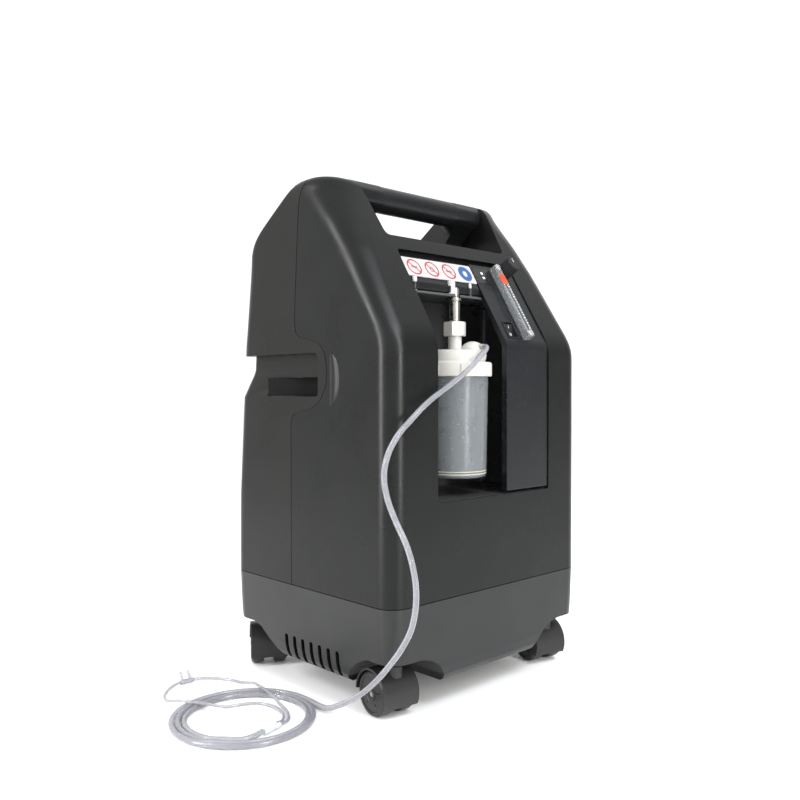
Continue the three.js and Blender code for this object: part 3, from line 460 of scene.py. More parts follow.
def posed(x, y, z, angle, axis):
    """A turn about an axis through the origin, then a move."""
    return Matrix.Translation((x, y, z)) @ Matrix.Rotation(angle, 4, axis)


def turned(obj, matrix):
    obj.data.transform(matrix)
    return obj


def combine(target, tool, operation, keep_tool=False):
    """Boolean of two closed solids, applied at once."""
    modifier = target.modifiers.new("boolean", "BOOLEAN")
    modifier.operation = operation
    modifier.solver = "MANIFOLD"
    modifier.object = tool
    settle(target)
    if not keep_tool:
        bpy.data.objects.remove(tool)
    return target


def settle(obj):
    """Applies the modifiers of an object to its mesh."""
    graph = bpy.context.evaluated_depsgraph_get()
    graph.update()
    fresh = bpy.data.meshes.new_from_object(obj.evaluated_get(graph))
    obj.modifiers.clear()
    old = obj.data
    obj.data = fresh
    bpy.data.meshes.remove(old)
    return obj


def cut(target, *tools):
    for tool in tools:
        combine(target, tool, "DIFFERENCE")
    return target


def add(target, *tools):
    for tool in tools:
        combine(target, tool, "UNION")
    return target


def keep(target, tool):
    return combine(target, tool, "INTERSECT")


def finish_piece(obj, name, material, body, nodes=(), bevel=0.0, segments=2, angle=32, smooth=32):
    obj.name = name
    obj.data.name = name
    obj.data.materials.clear()
    for one in material if isinstance(material, (list, tuple)) else [material]:
        obj.data.materials.append(one)
    mesh = bmesh.new()
    mesh.from_mesh(obj.data)
    bmesh.ops.remove_doubles(mesh, verts=mesh.verts, dist=0.02)
    bmesh.ops.dissolve_degenerate(mesh, edges=mesh.edges, dist=0.02)
    if bevel:
        bmesh.ops.dissolve_limit(mesh, angle_limit=math.radians(0.4), verts=mesh.verts, edges=mesh.edges)
    mesh.to_mesh(obj.data)
    mesh.free()
    if bevel:
        modifier = obj.modifiers.new("bevel", "BEVEL")
        modifier.width = bevel
        modifier.segments = segments
        modifier.limit_method = "ANGLE"
        modifier.angle_limit = math.radians(angle)
        modifier.use_clamp_overlap = True
        modifier.miter_outer = "MITER_ARC"
        settle(obj)
    obj.data.transform(Matrix.Translation((0, SHIFT_Y * MM, 0)) @ Matrix.Scale(MM, 4))
    mesh = bmesh.new()
    mesh.from_mesh(obj.data)
    for face in mesh.faces:
        face.smooth = True
    for edge in mesh.edges:
        edge.smooth = len(edge.link_faces) != 2 or edge.calc_face_angle(0) < math.radians(smooth)
    mesh.to_mesh(obj.data)
    mesh.free()
    weighted = obj.modifiers.new("normals", "WEIGHTED_NORMAL")
    weighted.keep_sharp = True
    weighted.weight = 60
    settle(obj)
    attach(obj, body)
    if nodes:
        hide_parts(*nodes)
    return obj


ROOT = "cabinet"

# ---------------------------------------------------------------- cabinet form
HALF_DEPTH = 152
BEND_Z = 418
SLOPE_LEAN = 0.6126
SLOPE_ANGLE = math.atan2(1, SLOPE_LEAN)
SEAM_Z = 127
# z, half width, front y, back y, radius of the rear corners, radius of the front corners
SECTIONS = np.array([
    [31, 155, -138, 139, 18, 18], [34, 160, -143, 144, 20, 20], [40, 164, -147, 148, 22, 22],
    [52, 167, -150, 150, 24, 24], [80, 169, -151.5, 151.5, 24, 24], [127, 171, -152, 152, 24, 24],
    [219, 171, -152, 152, 24, 24], [405, 171, -152, 138.5, 24, 24], [413, 171, -151.2, 138, 24, 24],
    [421, 170.9, -148.5, 137.6, 24, 24], [430, 170.7, -144.6, 137, 25, 25], [500, 168.8, -101.8, 132, 26, 30],
    [522, 168.5, -88.3, 129, 24, 33], [534, 168.3, -80.9, 126, 20, 36], [544, 168.1, -74.8, 121.5, 18, 39],
    [553, 168, -69.3, 114, 16, 41], [562, 167.8, -63.8, 103.5, 15, 44], [580, 167.3, -52.8, 77.5, 14, 53],
    [598, 166.2, -42, 52.5, 14, 60], [604, 165, -38, 44.5, 14, 58], [609, 162.5, -33, 37, 13, 51],
    [613, 158.5, -27, 29, 11, 42], [616, 152.5, -18, 18, 8, 26], [617, 147, -9, 9, 5, 11],
])
FINE_Z = np.arange(31, 617.01, 0.5)
FINE = np.stack([np.interp(FINE_Z, SECTIONS[:, 0], SECTIONS[:, k]) for k in range(1, 6)], 1)


def softened(values, sigma, low, high):
    """Gaussian smoothing of the section table between two heights."""
    reach = int(4 * sigma / 0.5)
    kernel = np.exp(-0.5 * (np.arange(-reach, reach + 1) * 0.5 / sigma) ** 2)
    kernel /= kernel.sum()
    padded = np.pad(values, ((reach, reach), (0, 0)), mode="edge")
    smooth = np.stack([np.convolve(padded[:, k], kernel, mode="valid") for k in range(values.shape[1])], 1)
    blend = np.clip(np.minimum(FINE_Z - low, high - FINE_Z) / 12, 0, 1)[:, None]
    return values * (1 - blend) + smooth * blend


FINE = softened(FINE, 4.5, 380, 470)
FINE = softened(FINE, 3.5, 495, 575)
FINE = softened(FINE, 2.0, 570, 606)
FINE = softened(FINE, 1.6, 33, 70)
CORNER_STEPS = 14
LEVELS = sorted({
    *np.arange(31, 52, 1.5), *np.arange(52, 127, 12.5), 127, *np.arange(140, 380, 30),
    *np.arange(384, 448, 3),
    *np.arange(452, 500, 12), *np.arange(504, 570, 4), *np.arange(574, 600, 3), *np.arange(600, 617, 1), 617,
})


def section(z):
    return [float(np.interp(z, FINE_Z, FINE[:, k])) for k in range(5)]


def ring(z, inset):
    half, front, back, rear, fore = section(z)
    half, front, back = half - inset, front + inset, back - inset
    rear, fore = max(rear - inset, 1), max(fore - inset, 1)
    out = []
    for cx, cy, quarter, radius in (
        (half - rear, back - rear, 0, rear), (-half + rear, back - rear, 1, rear),
        (-half + fore, front + fore, 2, fore), (half - fore, front + fore, 3, fore),
    ):
        for step in range(CORNER_STEPS + 1):
            a = (quarter + step / CORNER_STEPS) * math.pi / 2
            out.append((cx + radius * math.cos(a), cy + radius * math.sin(a), z))
    return out


def form(levels, inset):
    return loft([ring(z, inset(z) if callable(inset) else inset) for z in levels])


FAR = 400
WALL = 3
PARTING = [
    (25, 100), (25, 325), (20, 333), (-14, 340), (-31, 349), (-42, 367), (-43.6, 384), (-40, 405),
    (-31, 414), (-14, 420), (8, 424), (16, 430), (19, 446), (17, 528), (14, 587), (9, 607), (9, 700),
]


def parting_line(offset):
    """The line between cover and rear shell, with its corners eased."""
    closed = rounded(
        [*PARTING, (FAR, 700), (FAR, 100)],
        [0, 5, 6, 12, 16, 18, 18, 18, 14, 12, 8, 6, 10, 30, 30, 10, 0, 0, 0], 5,
    )
    return [(y + offset, z) for y, z in closed if y < FAR - 1]


def front_side(offset):
    return prism([*parting_line(-offset), (-FAR, 700), (-FAR, 100)], "x", -FAR, FAR)


def rear_side(offset):
    return prism([*parting_line(offset), (FAR, 700), (FAR, 100)], "x", -FAR, FAR)


GRIP = {"front": -27, "top": 405, "shelf": 384, "lip": 350, "depth": 13, "back": 92}
FINGER = {"depth": 24, "top": 377, "bottom": 354, "fade": 30, "end": 78, "end_depth": 3}


def grip_tool(grow):
    """Groove round both sides and the rear corners, with a sloped lower face and a finger slot under it."""
    z0, z1, z2 = GRIP["lip"] - grow, GRIP["shelf"], GRIP["top"] + grow
    band = form([z0, z2], -6)
    waist = form([z0 - 0.2, z0, z1 - 3, z1 + 3, z2 + 0.2], lambda z: -1 if z < z0 + 0.2 else (
        GRIP["depth"] + grow - (1.6 if z < z1 else 0)))
    combine(band, waist, "DIFFERENCE")
    front = GRIP["front"] - grow
    outline = rounded([(front, z0 - 1), (FAR, z0 - 1), (FAR, z2 + 1), (front, z2 + 1)], [10, 0, 0, 10], 6)
    sides = None
    for sign in (-1, 1):
        low, high = sorted((sign * FAR, sign * (GRIP["back"] - grow)))
        part = prism(outline, "x", low, high)
        sides = part if sides is None else add(sides, part)
    keep(band, sides)
    inner = 171 - FINGER["depth"] - grow
    slot = rounded(
        [
            (inner, front), (FAR, front), (FAR, FINGER["end"] + grow),
            (171 - FINGER["end_depth"] - grow, FINGER["end"] + grow), (inner, FINGER["fade"] + grow),
        ],
        [5, 0, 0, 12, 24], 6,
    )
    low, high = FINGER["bottom"] - grow, FINGER["top"] + grow
    ease = rounded([(front, low), (FAR, low), (FAR, high), (front, high)], [6, 0, 0, 6], 5)
    for sign in (-1, 1):
        part = prism([(sign * x, y) for x, y in slot], "z", low, high)
        add(band, keep(part, prism(ease, "x", -FAR, FAR)))
    return band


SADDLE = {"floor": 544, "bottom": 107, "top": 118}


def saddle_tool(grow):
    outline = [
        (-SADDLE["bottom"] - grow, SADDLE["floor"] - grow), (SADDLE["bottom"] + grow, SADDLE["floor"] - grow),
        (SADDLE["top"] + grow, 640), (-SADDLE["top"] - grow, 640),
    ]
    return prism(rounded(outline, [7, 7, 0, 0], 6), "y", -FAR, FAR)


def well_tool(grow):
    """Wheel arches at the four corners of the base."""
    front = [(80, 20), (84, 40), (96, 55), (110, 63), (125, 66), (200, 66), (200, 20)]
    side_front = [(-70, 20), (-71, 38), (-79, 48), (-94, 60), (-108, 66), (-200, 66), (-200, 20)]
    side_rear = [(54, 20), (57, 34), (91, 61), (106, 66), (200, 66), (200, 20)]

    def grown(outline, sign):
        return [(u - sign * grow if abs(u) < 199 else u, z + grow if z > 30 else z) for u, z in outline]

    right = rounded(grown(front, 1), [0, 8, 14, 20, 20, 0, 0], 5)
    left = [(-u, z) for u, z in right][::-1]
    across = add(prism(right, "y", -FAR, FAR), prism(left, "y", -FAR, FAR))
    along = add(
        prism(rounded(grown(side_front, -1), [0, 6, 12, 16, 16, 0, 0], 5), "x", -FAR, FAR),
        prism(rounded(grown(side_rear, 1), [0, 8, 14, 16, 0, 0], 5), "x", -FAR, FAR),
    )
    return keep(across, along)


def shell_solid():
    outer = form(LEVELS, 0)
    inner_levels = [z for z in LEVELS if 36 < z < 598][::2]
    inner = form([34, *inner_levels, 600, 606], lambda z: 4 if z > BEND_Z else 3)
    for tool in (saddle_tool, grip_tool):
        combine(outer, tool(0), "DIFFERENCE")
        combine(inner, tool(WALL), "DIFFERENCE")
    return combine(outer, inner, "DIFFERENCE")


def copy_of(obj):
    twin = bpy.data.objects.new(obj.name + "_copy", obj.data.copy())
    bpy.context.scene.collection.objects.link(twin)
    return twin


shell = shell_solid()
above = block(-FAR, FAR, -FAR, FAR, SEAM_Z + 0.45, 700)
upper = combine(copy_of(shell), above, "INTERSECT", keep_tool=True)
bpy.data.objects.remove(above)
bpy.data.objects.remove(shell)

# front cover, with its niche opening
cover = keep(copy_of(upper), front_side(0.45))
window = rounded_block(-100, 104, -FAR, -70, 236, 527, "y", [3, 3, 5, 5], 5)
cut(cover, window)
finish_piece(cover, "front_cover_moulding", CASING, ROOT, ["front_cover"], bevel=1.3, segments=3)

rear = keep(upper, rear_side(0.45))
cut(
    rear,
    block(-55, 55, 120, FAR, 250, 330),
    block(47.7, 76.3, 120, FAR, 161.2, 182.8),
    turned(
        lathe([(0, -40), (5.3, -40), (5.3, 40), (0, 40)], sides=32),
        posed(18, 150, 172, math.pi / 2, "X"),
    ),
)
finish_piece(rear, "rear_shell_moulding", CASING_REAR, ROOT, ["rear_shell"], bevel=1.0, segments=3)

# base tub, with its wheel arches and vent slots
tub = keep(form(LEVELS, 0), block(-FAR, FAR, -FAR, FAR, 0, SEAM_Z - 0.45))
cut(tub, well_tool(0))
hollow = keep(form([34, *[z for z in LEVELS if 36 < z < 140]], 3), block(-FAR, FAR, -FAR, FAR, 0, 140))
cut(hollow, well_tool(3))
cut(tub, hollow)
for i in range(7):
    y = 39.6 - i * 16.2
    for side in (-1, 1):
        low, high = sorted((side * 150, side * FAR))
        cut(tub, rounded_block(low, high, y - 3.2, y + 3.2, 34, 64, "x", 3, 5))
finish_piece(tub, "base_tub_moulding", BASE_PAINTED_FLOOR_LIGHT, ROOT, ["base_tub"], bevel=0.9, segments=2)

# ---------------------------------------------------------------- slope frame
V = (0.0, 0.522423, 0.852681)
N = (0.0, -0.852681, 0.522423)
SLOPE = Matrix(((1, 0, 0, 0), (0, V[1], N[1], -HALF_DEPTH), (0, V[2], N[2], BEND_Z), (0, 0, 0, 1)))


def on_slope(obj):
    """Local x, up-slope distance s and outward height n, into the machine frame."""
    return turned(obj, SLOPE)


def plate(x0, x1, s0, s1, n0, n1, radius=0.0, steps=5):
    outline = [(x0, s0), (x1, s0), (x1, s1), (x0, s1)]
    return prism(rounded(outline, radius, steps) if radius else outline, "z", n0, n1)


def disc(radius, x, s, n0, n1, sides=48, hole=0.0):
    if hole:
        return turned(
            lathe([(hole, n0), (radius, n0), (radius, n1), (hole, n1)], x, s, sides, closed=True), Matrix(),
        )
    return lathe([(0, n0), (radius, n0), (radius, n1), (0, n1)], x, s, sides)


# ---------------------------------------------------------------- thumb relief beside each hand grip
def crescent(side):
    """Shallow raised cheek in front of the grip: flush at its rear edge, proud along its front arc."""
    points, faces = [], []
    rows, columns = 17, 9
    for i in range(rows):
        t = -1 + 2 * i / (rows - 1)
        z = 374 + 31 * t
        arc = math.sqrt(max(1 - t * t, 0))
        rear_y = -49
        front_y = rear_y - 17 * arc
        for j in range(columns):
            u = j / (columns - 1)
            y = rear_y + (front_y - rear_y) * u
            lift = 2.3 * arc * math.sin(math.pi * u)
            points.append((side * (171.0 - 0.05 + lift), y, z))
    for i in range(rows):
        t = -1 + 2 * i / (rows - 1)
        z = 374 + 31 * t
        arc = math.sqrt(max(1 - t * t, 0))
        for j in range(columns):
            u = j / (columns - 1)
            points.append((side * 169.5, -49 - 17 * arc * u, z))
    half = rows * columns
    for i in range(rows - 1):
        for j in range(columns - 1):
            a = i * columns + j
            faces.append((a, a + 1, a + columns + 1, a + columns))
            faces.append((half + a, half + a + columns, half + a + columns + 1, half + a + 1))
    edge = [j for j in range(columns)] + [i * columns + columns - 1 for i in range(1, rows)]
    edge += [
        (rows - 1) * columns + j for j in range(columns - 2, -1, -1)
    ] + [i * columns for i in range(rows - 2, 0, -1)]
    for k, a in enumerate(edge):
        b = edge[(k + 1) % len(edge)]
        faces.append((a, b, half + b, half + a))
    return outward(build("crescent", points, faces))


for side, tag in ((-1, "left"), (1, "right")):
    finish_piece(crescent(side), f"grip_cheek_{tag}", CASING, ROOT, smooth=50)

# Near-black, matt lining on the inner and end walls of each finger slot: painted shade in the recess.
SLOT_SHADE = moulded("slot_shade", "casing", (0.0030, 0.0031, 0.0032), 0.55, specular=0.05)


def finger_slot_painted_shade(side):
    outline = [
        (147.2, -26.2), (148.4, -26.2), (148.4, 30.3), (168.4, 76.2), (167.4, 76.8), (147.2, 30.7),
    ]
    turn = [(side * x, y) for x, y in outline]
    return prism(turn if side > 0 else turn[::-1], "z", 354.4, 376.6)


for side, tag in ((-1, "left"), (1, "right")):
    finish_piece(finger_slot_painted_shade(side), f"finger_slot_pad_{tag}", SLOT_SHADE, ROOT)

# ---------------------------------------------------------------- carry handle
def ridge_back(z):
    return 9 + (607 - z) * 1.43


def carry_handle():
    """Round bar along the ridge that flares into a foot at each end of the saddle."""
    foot = SADDLE["floor"] + 0.6
    bar_y, bar_z, bar_r, inner, flare = -12, 600.5, 16.5, 78, 14
    wedge = prism(
        rounded([(-106.5, foot), (106.5, foot), (117.4, 640), (-117.4, 640)], [6.6, 6.6, 0, 0], 6), "y",
        -FAR, FAR
    )
    along = posed(0, bar_y, bar_z, math.pi / 2, "Y")
    bar = turned(lathe([(0, -130), (bar_r, -130), (bar_r, 130), (0, 130)], sides=96), along)
    side = rounded(
        [
            (ridge_back(foot), foot), (ridge_back(604), 604), (3, 616.6), (-20, 616.6), (-29, 606),
            (-28, 592), (-6, 577),
            (4.4, 566), (4.4, foot),
        ],
        [0, 16, 12, 9, 9, 10, 12, 10, 0], 8,
    )
    for sign in (-1, 1):
        low, high = sorted((sign * inner, sign * 130))
        foot_block = prism(side, "x", low, high)
        arc = [
            (bar_r + flare * (1 - math.cos(t)), inner - flare + flare * math.sin(t))
            for t in np.linspace(0, math.pi / 2, 13)
        ]
        profile = [(0, arc[0][1]), *arc, (arc[-1][0], inner + 6), (0, inner + 6)]
        collar = turned(lathe([(r, sign * x) for r, x in profile], sides=96), along)
        keep(collar, prism(side, "x", -130, 130))
        add(bar, foot_block, collar)
    return keep(bar, wedge)


finish_piece(
    carry_handle(), "carry_handle_moulding", TRIM, ROOT, ["carry_handle"], bevel=1.4, segments=3,
    angle=40,
)

# ---------------------------------------------------------------- niche liner
BX, BY = -22, -105  # axis of the outlet tube and the humidifier


def niche_liner():
    x0, x1, back, floor, ceiling = -103, 108, -38, 236, 474

    def front(z):
        return -HALF_DEPTH + max(z - BEND_Z, 0) * SLOPE_LEAN + 6.5

    outline = [
        (back + 3, floor - 3), (back + 3, ceiling + 3), (front(ceiling + 3), ceiling + 3),
        (front(BEND_Z), BEND_Z),
        (front(0), floor - 3),
    ]
    outer = prism(outline, "x", x0 - 3, x1 + 3)
    hollow = keep(
        prism(rounded([(x0, floor), (x1, floor), (x1, ceiling), (x0, ceiling)], 9, 6), "y", -FAR, back),
        prism(rounded([(x0, -FAR), (x1, -FAR), (x1, back), (x0, back)], [0, 0, 11, 11], 6), "z", 0, 700),
    )
    cut(outer, hollow, block(21, x1, -FAR, -96, BEND_Z, 800))
    cut(outer, lathe([(0, 460), (6.5, 460), (6.5, 490), (0, 490)], BX, BY, 32))
    return outer


finish_piece(
    niche_liner(), "niche_liner_moulding", LINER, ROOT, ["alcove_liner"], bevel=0.8, segments=2,
)

# ---------------------------------------------------------------- bridge with the label and the oxygen outlet
def bridge():
    def slope_y(z):
        return -HALF_DEPTH + (z - BEND_Z) * SLOPE_LEAN + 3

    outline = [
        (-60, 478), (-60, 518.5), (slope_y(518.5), 518.5), (slope_y(491), 491), (-107, 487), (-107, 478),
    ]
    made = prism(rounded(outline, [0, 0, 1, 4, 4, 3], 4), "x", -99.5, 21.5)
    add(made, block(-99.5, 103.5, -72, -60, 478, 532))
    for x in (-92, -30, 4):
        column = lathe([(0, 477.9), (5.2, 477.9), (6, 479), (6, 486.5), (0, 486.5)], x, -105, 40)
        add(made, column)
    return cut(made, lathe([(0, 470), (5.7, 470), (5.7, 485.3), (0, 485.3)], BX, BY, 32))


finish_piece(bridge(), "outlet_bridge", TRIM, ROOT, ["outlet_block"], bevel=0.6)
# three light-grey bars on the block under the label
OUTLET_BAR = smooth_plastic("outlet_bar_grey", "label", (0.40, 0.40, 0.39), 0.32)
for k, (x, r) in enumerate(((-92, 3), (-30, 5), (4, 2))):
    bar_piece = lathe(
        [(0, 477), (r - 0.5, 477), (r, 477.6), (r, 492), (r - 0.8, 493), (0, 493)], x, -106.4, 32,
    )
    finish_piece(bar_piece, f"outlet_bar_{k + 1}", OUTLET_BAR, ROOT)
stem = lathe(
    [
        (0, 431), (4.9, 431), (5.4, 431.8), (5.4, 444.7), (6.2, 445), (6.6, 446), (6.6, 468), (7.4, 469),
        (8.2, 470.2),
        (8.2, 472.6), (5.4, 472.9), (5.4, 485), (0, 485),
    ],
    BX, BY, 48,
)
finish_piece(stem, "outlet_stem", NICKEL, ROOT, ["outlet_tube"])

LABEL = Shader("label_print", (0.38, 0.37, 0.374), 0.4)
LABEL.tint(0.03, 30)
LABEL.gloss(0.3, 0.42, 90)
LABEL.bump(LABEL.noise(500, 2), 0.00003, 0.2)
LABEL = LABEL.done("label")
RED = smooth_plastic("label_red", "label", (0.30, 0.012, 0.014), 0.4)
BLUE = smooth_plastic("label_blue", "label", (0.010, 0.060, 0.20), 0.35)
GREY_MARK = smooth_plastic("label_grey", "label", (0.22, 0.13, 0.13), 0.4)
finish_piece(
    on_slope(plate(-99, 20.5, 90, 117, -2.2, -1.0, 1.6)), "label_plate_face", LABEL, ROOT,
    ["label_plate"],
)
for k, x in enumerate((-83, -53.5, -24)):
    mark = disc(11.2, x, 103.5, -1.02, -0.86, 56, hole=9.3)
    bar = turned(
        plate(-9.6, 9.6, -0.8, 0.8, -1.02, -0.86),
        posed(x, 103.5, 0, math.radians(-45), "Z"),
    )
    finish_piece(on_slope(mark), f"label_ring_{k + 1}", RED, ROOT)
    finish_piece(on_slope(bar), f"label_bar_{k + 1}", RED, ROOT)
    sign = plate(
        x - 5.2, x + 5.2, 102.2, 105.0, -1.02, -0.9, 1.0,
    ) if k != 1 else disc(4.0, x, 103.2, -1.02, -0.9, 24, hole=2.6)
    finish_piece(on_slope(sign), f"label_mark_{k + 1}", GREY_MARK, ROOT)
finish_piece(on_slope(disc(11.2, 5.4, 103.5, -1.02, -0.86, 56)), "label_disc", BLUE, ROOT)
finish_piece(
    on_slope(plate(1.6, 8.6, 99.0, 107.6, -0.9, -0.74, 3.0)), "label_disc_mark", LABEL, ROOT,
)

# ---------------------------------------------------------------- control strip
KNOB_X, KNOB_S, KNOB_R = 84, 113, 10.5


def strip():
    skin, deep = 1.5, 9.5
    top_z = BEND_Z + 120 * math.sin(SLOPE_ANGLE)

    def lean(z):
        return -HALF_DEPTH + (z - BEND_Z) * SLOPE_LEAN

    outline = [
        (-HALF_DEPTH + skin, 239), (-HALF_DEPTH + deep, 239), (-HALF_DEPTH + deep, BEND_Z),
        (lean(top_z) + deep, top_z),
        (lean(top_z) + skin, top_z), (-HALF_DEPTH + skin + 0.4, BEND_Z),
    ]
    made = prism(rounded(outline, [1.5, 1, 20, 0, 0, 26], 8), "x", 22.2, 103.4)
    cut(
        made,
        on_slope(plate(31.7, 52.3, 9.7, 34.3, -40, 40, 1.0)),
        on_slope(plate(59.9, 72.1, 7.7, 118.3, -5, 40, 1.0)),
        on_slope(disc(4.3, KNOB_X, KNOB_S, -40, 40, 32)),
        on_slope(plate(25.7, 54.3, 91.7, 116.3, -4, 40, 1.5)),
    )
    return made


finish_piece(strip(), "control_strip", STRIP, ROOT, ["control_panel"], bevel=1.1, segments=3)

window_piece = on_slope(plate(26, 54, 92, 116, -3.7, -1.0, 1.3))
finish_piece(
    window_piece, "indicator_lens", GLOSS_BLACK, ROOT, ["indicator_window"], bevel=0.3,
)
PALE_MARK = smooth_plastic("pale_mark", "label", (0.62, 0.63, 0.64), 0.4)
for k, low in enumerate((99.5, 106.5)):
    mark = plate(37.6, 41.6, low, low + 3.2, -1.02, -0.8, 0.8)
    finish_piece(on_slope(mark), f"indicator_mark_{k + 1}", PALE_MARK, ROOT)

# flowmeter: clear block, tapered bore, scale and coloured band
FLOW_CLEAR = clear_plastic(
    "flowmeter_acrylic", "clear_plastic", (0.40, 0.41, 0.42), 0.06, transmission=0.7, ior=1.4,
)


def flowmeter():
    body = plate(60.2, 71.8, 8, 118, -4.7, 8, 2.0, 5)
    bore = turned(
        lathe([(0, -43), (3.4, -43), (4.0, 43), (0, 43)], sides=32),
        posed(66, 60, 2, -math.pi / 2, "X"),
    )
    cut(body, bore, plate(64.8, 67.2, 17, 103, 2, 9))
    return on_slope(body)


finish_piece(
    flowmeter(), "flowmeter_block", FLOW_CLEAR, ROOT, ["flowmeter_body"], bevel=0.9,
    segments=3,
)
TICK = smooth_plastic("scale_white", "label", (0.75, 0.76, 0.77), 0.4)
for k in range(21):
    s = 20 + 4 * k
    reach = 3.4 if k % 4 == 0 else 1.9
    finish_piece(
        on_slope(plate(71.4 - reach, 71.4, s - 0.35, s + 0.35, 8.02, 8.2)), f"scale_tick_{k + 1:02d}", TICK,
        ROOT,
    )
ORANGE = smooth_plastic("band_orange", "label", (0.48, 0.055, 0.02), 0.35)
finish_piece(on_slope(plate(60.4, 71.6, 88, 103, 8.02, 8.3, 1.2)), "flow_band", ORANGE, ROOT)
for k, s in enumerate((12.5, 114.5)):
    collar = lathe([(0, 8.02), (4.2, 8.02), (4.2, 9.0), (3.6, 9.6), (0, 9.6)], 66, s, 36)
    finish_piece(on_slope(collar), f"flowmeter_cap_{k + 1}", CLEAR, ROOT)
float_ball = turned(
    lathe([(2.9 * math.sin(a), -2.9 * math.cos(a)) for a in np.linspace(0, math.pi, 19)], sides=36),
    Matrix.Translation((66, 22, 2)),
)
finish_piece(on_slope(float_ball), "float_ball", STEEL, "flow_float", ["flowmeter_float"], smooth=60)


def knob():
    outline = []
    for k in range(144):
        a = 2 * math.pi * k / 144
        r = KNOB_R - 0.55 * (0.5 + 0.5 * math.cos(18 * a)) ** 2
        outline.append((KNOB_X + r * math.cos(a), KNOB_S + r * math.sin(a)))
    made = prism(outline, "z", 1, 21)
    add(made, disc(9.4, KNOB_X, KNOB_S, 20.9, 22, 64), disc(4, KNOB_X, KNOB_S, -9, 1.2, 40))
    return cut(made, plate(83.4, 84.6, 114, 121, 21.5, 23))


finish_piece(
    on_slope(knob()), "flow_knob_grip", MATT_BLACK, "flow_knob", ["flowmeter_knob"],
    bevel=0.35,
)
finish_piece(
    on_slope(plate(83.6, 84.4, 114.4, 120.6, 21.5, 21.9)), "flow_knob_pointer", PALE_MARK, "flow_knob",
)


def bezel():
    made = plate(32, 52, 10, 34, -16, -0.6, 1.4)
    cut(made, plate(33.5, 50.5, 11.0, 33.0, -13, 9, 0.8))
    return on_slope(made)


finish_piece(bezel(), "switch_frame", MATT_BLACK, ROOT, ["switch_bezel"], bevel=0.35)


def rocker():
    outline = [
        (22 - 9.4, -4.4), (22, -3.4), (22 + 9.4, -0.8), (22 + 8.6, -5.4), (24.5, -9), (19.5, -9),
        (22 - 8.6, -9),
    ][::-1]
    return on_slope(prism(rounded(outline, [1, 1, 1, 1, 1, 30, 1], 5), "x", 34, 50))


finish_piece(rocker(), "rocker_cap", GLOSS_BLACK, "rocker", ["power_rocker"], bevel=0.4)
# the two generic on and off marks, which lie on the rocker's two faces
rocker_on = posed(0, 22, -3.4, math.atan2(2.6, 9.4), "X")
rocker_off = posed(0, 22, -3.4, math.atan2(1.0, 9.4), "X")
finish_piece(
    on_slope(turned(plate(41.6, 42.4, 3.2, 6.4, 0.0, 0.14), rocker_on)), "rocker_mark_bar", PALE_MARK,
    "rocker",
)
finish_piece(
    on_slope(turned(disc(1.8, 42, -4.9, 0.0, 0.14, 32, hole=1.2), rocker_off)), "rocker_mark_ring",
    PALE_MARK, "rocker",
)

# ---------------------------------------------------------------- humidifier


def hex_nut():
    made = prism(
        [
            (BX + 14 * math.cos(math.radians(60 * k + 30)), BY + 14 * math.sin(math.radians(60 * k + 30)))
            for k in range(6)
        ],
        "z", 427, 444,
    )
    chamfer = lathe([(0, 426), (12.6, 426), (14.3, 429), (14.3, 442), (12.6, 445), (0, 445)], BX, BY, 64)
    keep(made, chamfer)
    return cut(
        made,
        lathe([(0, 420), (8.6, 420), (8.6, 430), (5.7, 430.01), (5.7, 460), (0, 460)], BX, BY, 48),
    )


finish_piece(hex_nut(), "humidifier_nut_hex", IVORY, "nut", ["humidifier_nut"], bevel=0.5)


def lid():
    top = 395
    made = lathe(
        [
            (0, 383), (38, 383), (38, 379.3), (42, 379.3), (42, 378), (44.2, 378), (45, 379),
            (45, top - 1.6), (43.6, top),
            (37.4, top + 0.6), (36.6, top + 1.6), (36, 406.6), (34.9, 408.8), (32.6, 409.7), (8.3, 410),
            (8.3, 429.4), (3.2, 429.4), (3.2, 395), (0, 395),
        ],
        BX, BY, 96,
    )
    dome = turned(
        lathe([(17 * math.sin(a), -17 * math.cos(a)) for a in np.linspace(0, math.pi, 25)], sides=48),
        Matrix.Translation((BX + 19, BY - 12, 404)),
    )
    keep(dome, block(-FAR, FAR, -FAR, FAR, top, 500))
    nozzle = turned(
        lathe([(0, -7), (3.1, -7), (3.1, 3.5), (3.9, 4.6), (3.9, 6), (5, 7), (0, 7)], sides=32),
        posed(-4, -127.5, 414, -math.pi / 2, "X"),
    )
    add(made, dome, nozzle)
    cut(
        made,
        turned(
            lathe([(0, -6), (1.6, -6), (1.6, 6), (0, 6)], sides=20),
            posed(-4, -131.5, 414, -math.pi / 2, "X"),
        ),
    )
    for k in range(8):
        a = math.radians(45 * k + 12)
        lug = turned(
            rounded_block(-1.2, 1.2, -4.5, 4.5, -6, 6, "z", 1.0),
            posed(BX + 44.6 * math.cos(a), BY + 44.6 * math.sin(a), 386, a, "Z"),
        )
        add(made, lug)
    return made


finish_piece(lid(), "humidifier_lid_moulding", IVORY, ROOT, ["humidifier_lid"], bevel=0.45)


def jar():
    outer = [
        (0, 257), (33, 257), (36.4, 257.8), (37.6, 259.4), (38, 262), (38.6, 275), (40.2, 366),
        (40.2, 367.6), (40.9, 368.4), (40.9, 370.6), (40.2, 371.4), (40.4, 379),
    ]
    inner = [(38.3, 379), (37.9, 366), (35.9, 263), (34.6, 260.6), (32, 260), (0, 260)]
    return lathe(outer + inner, BX, BY, 96)


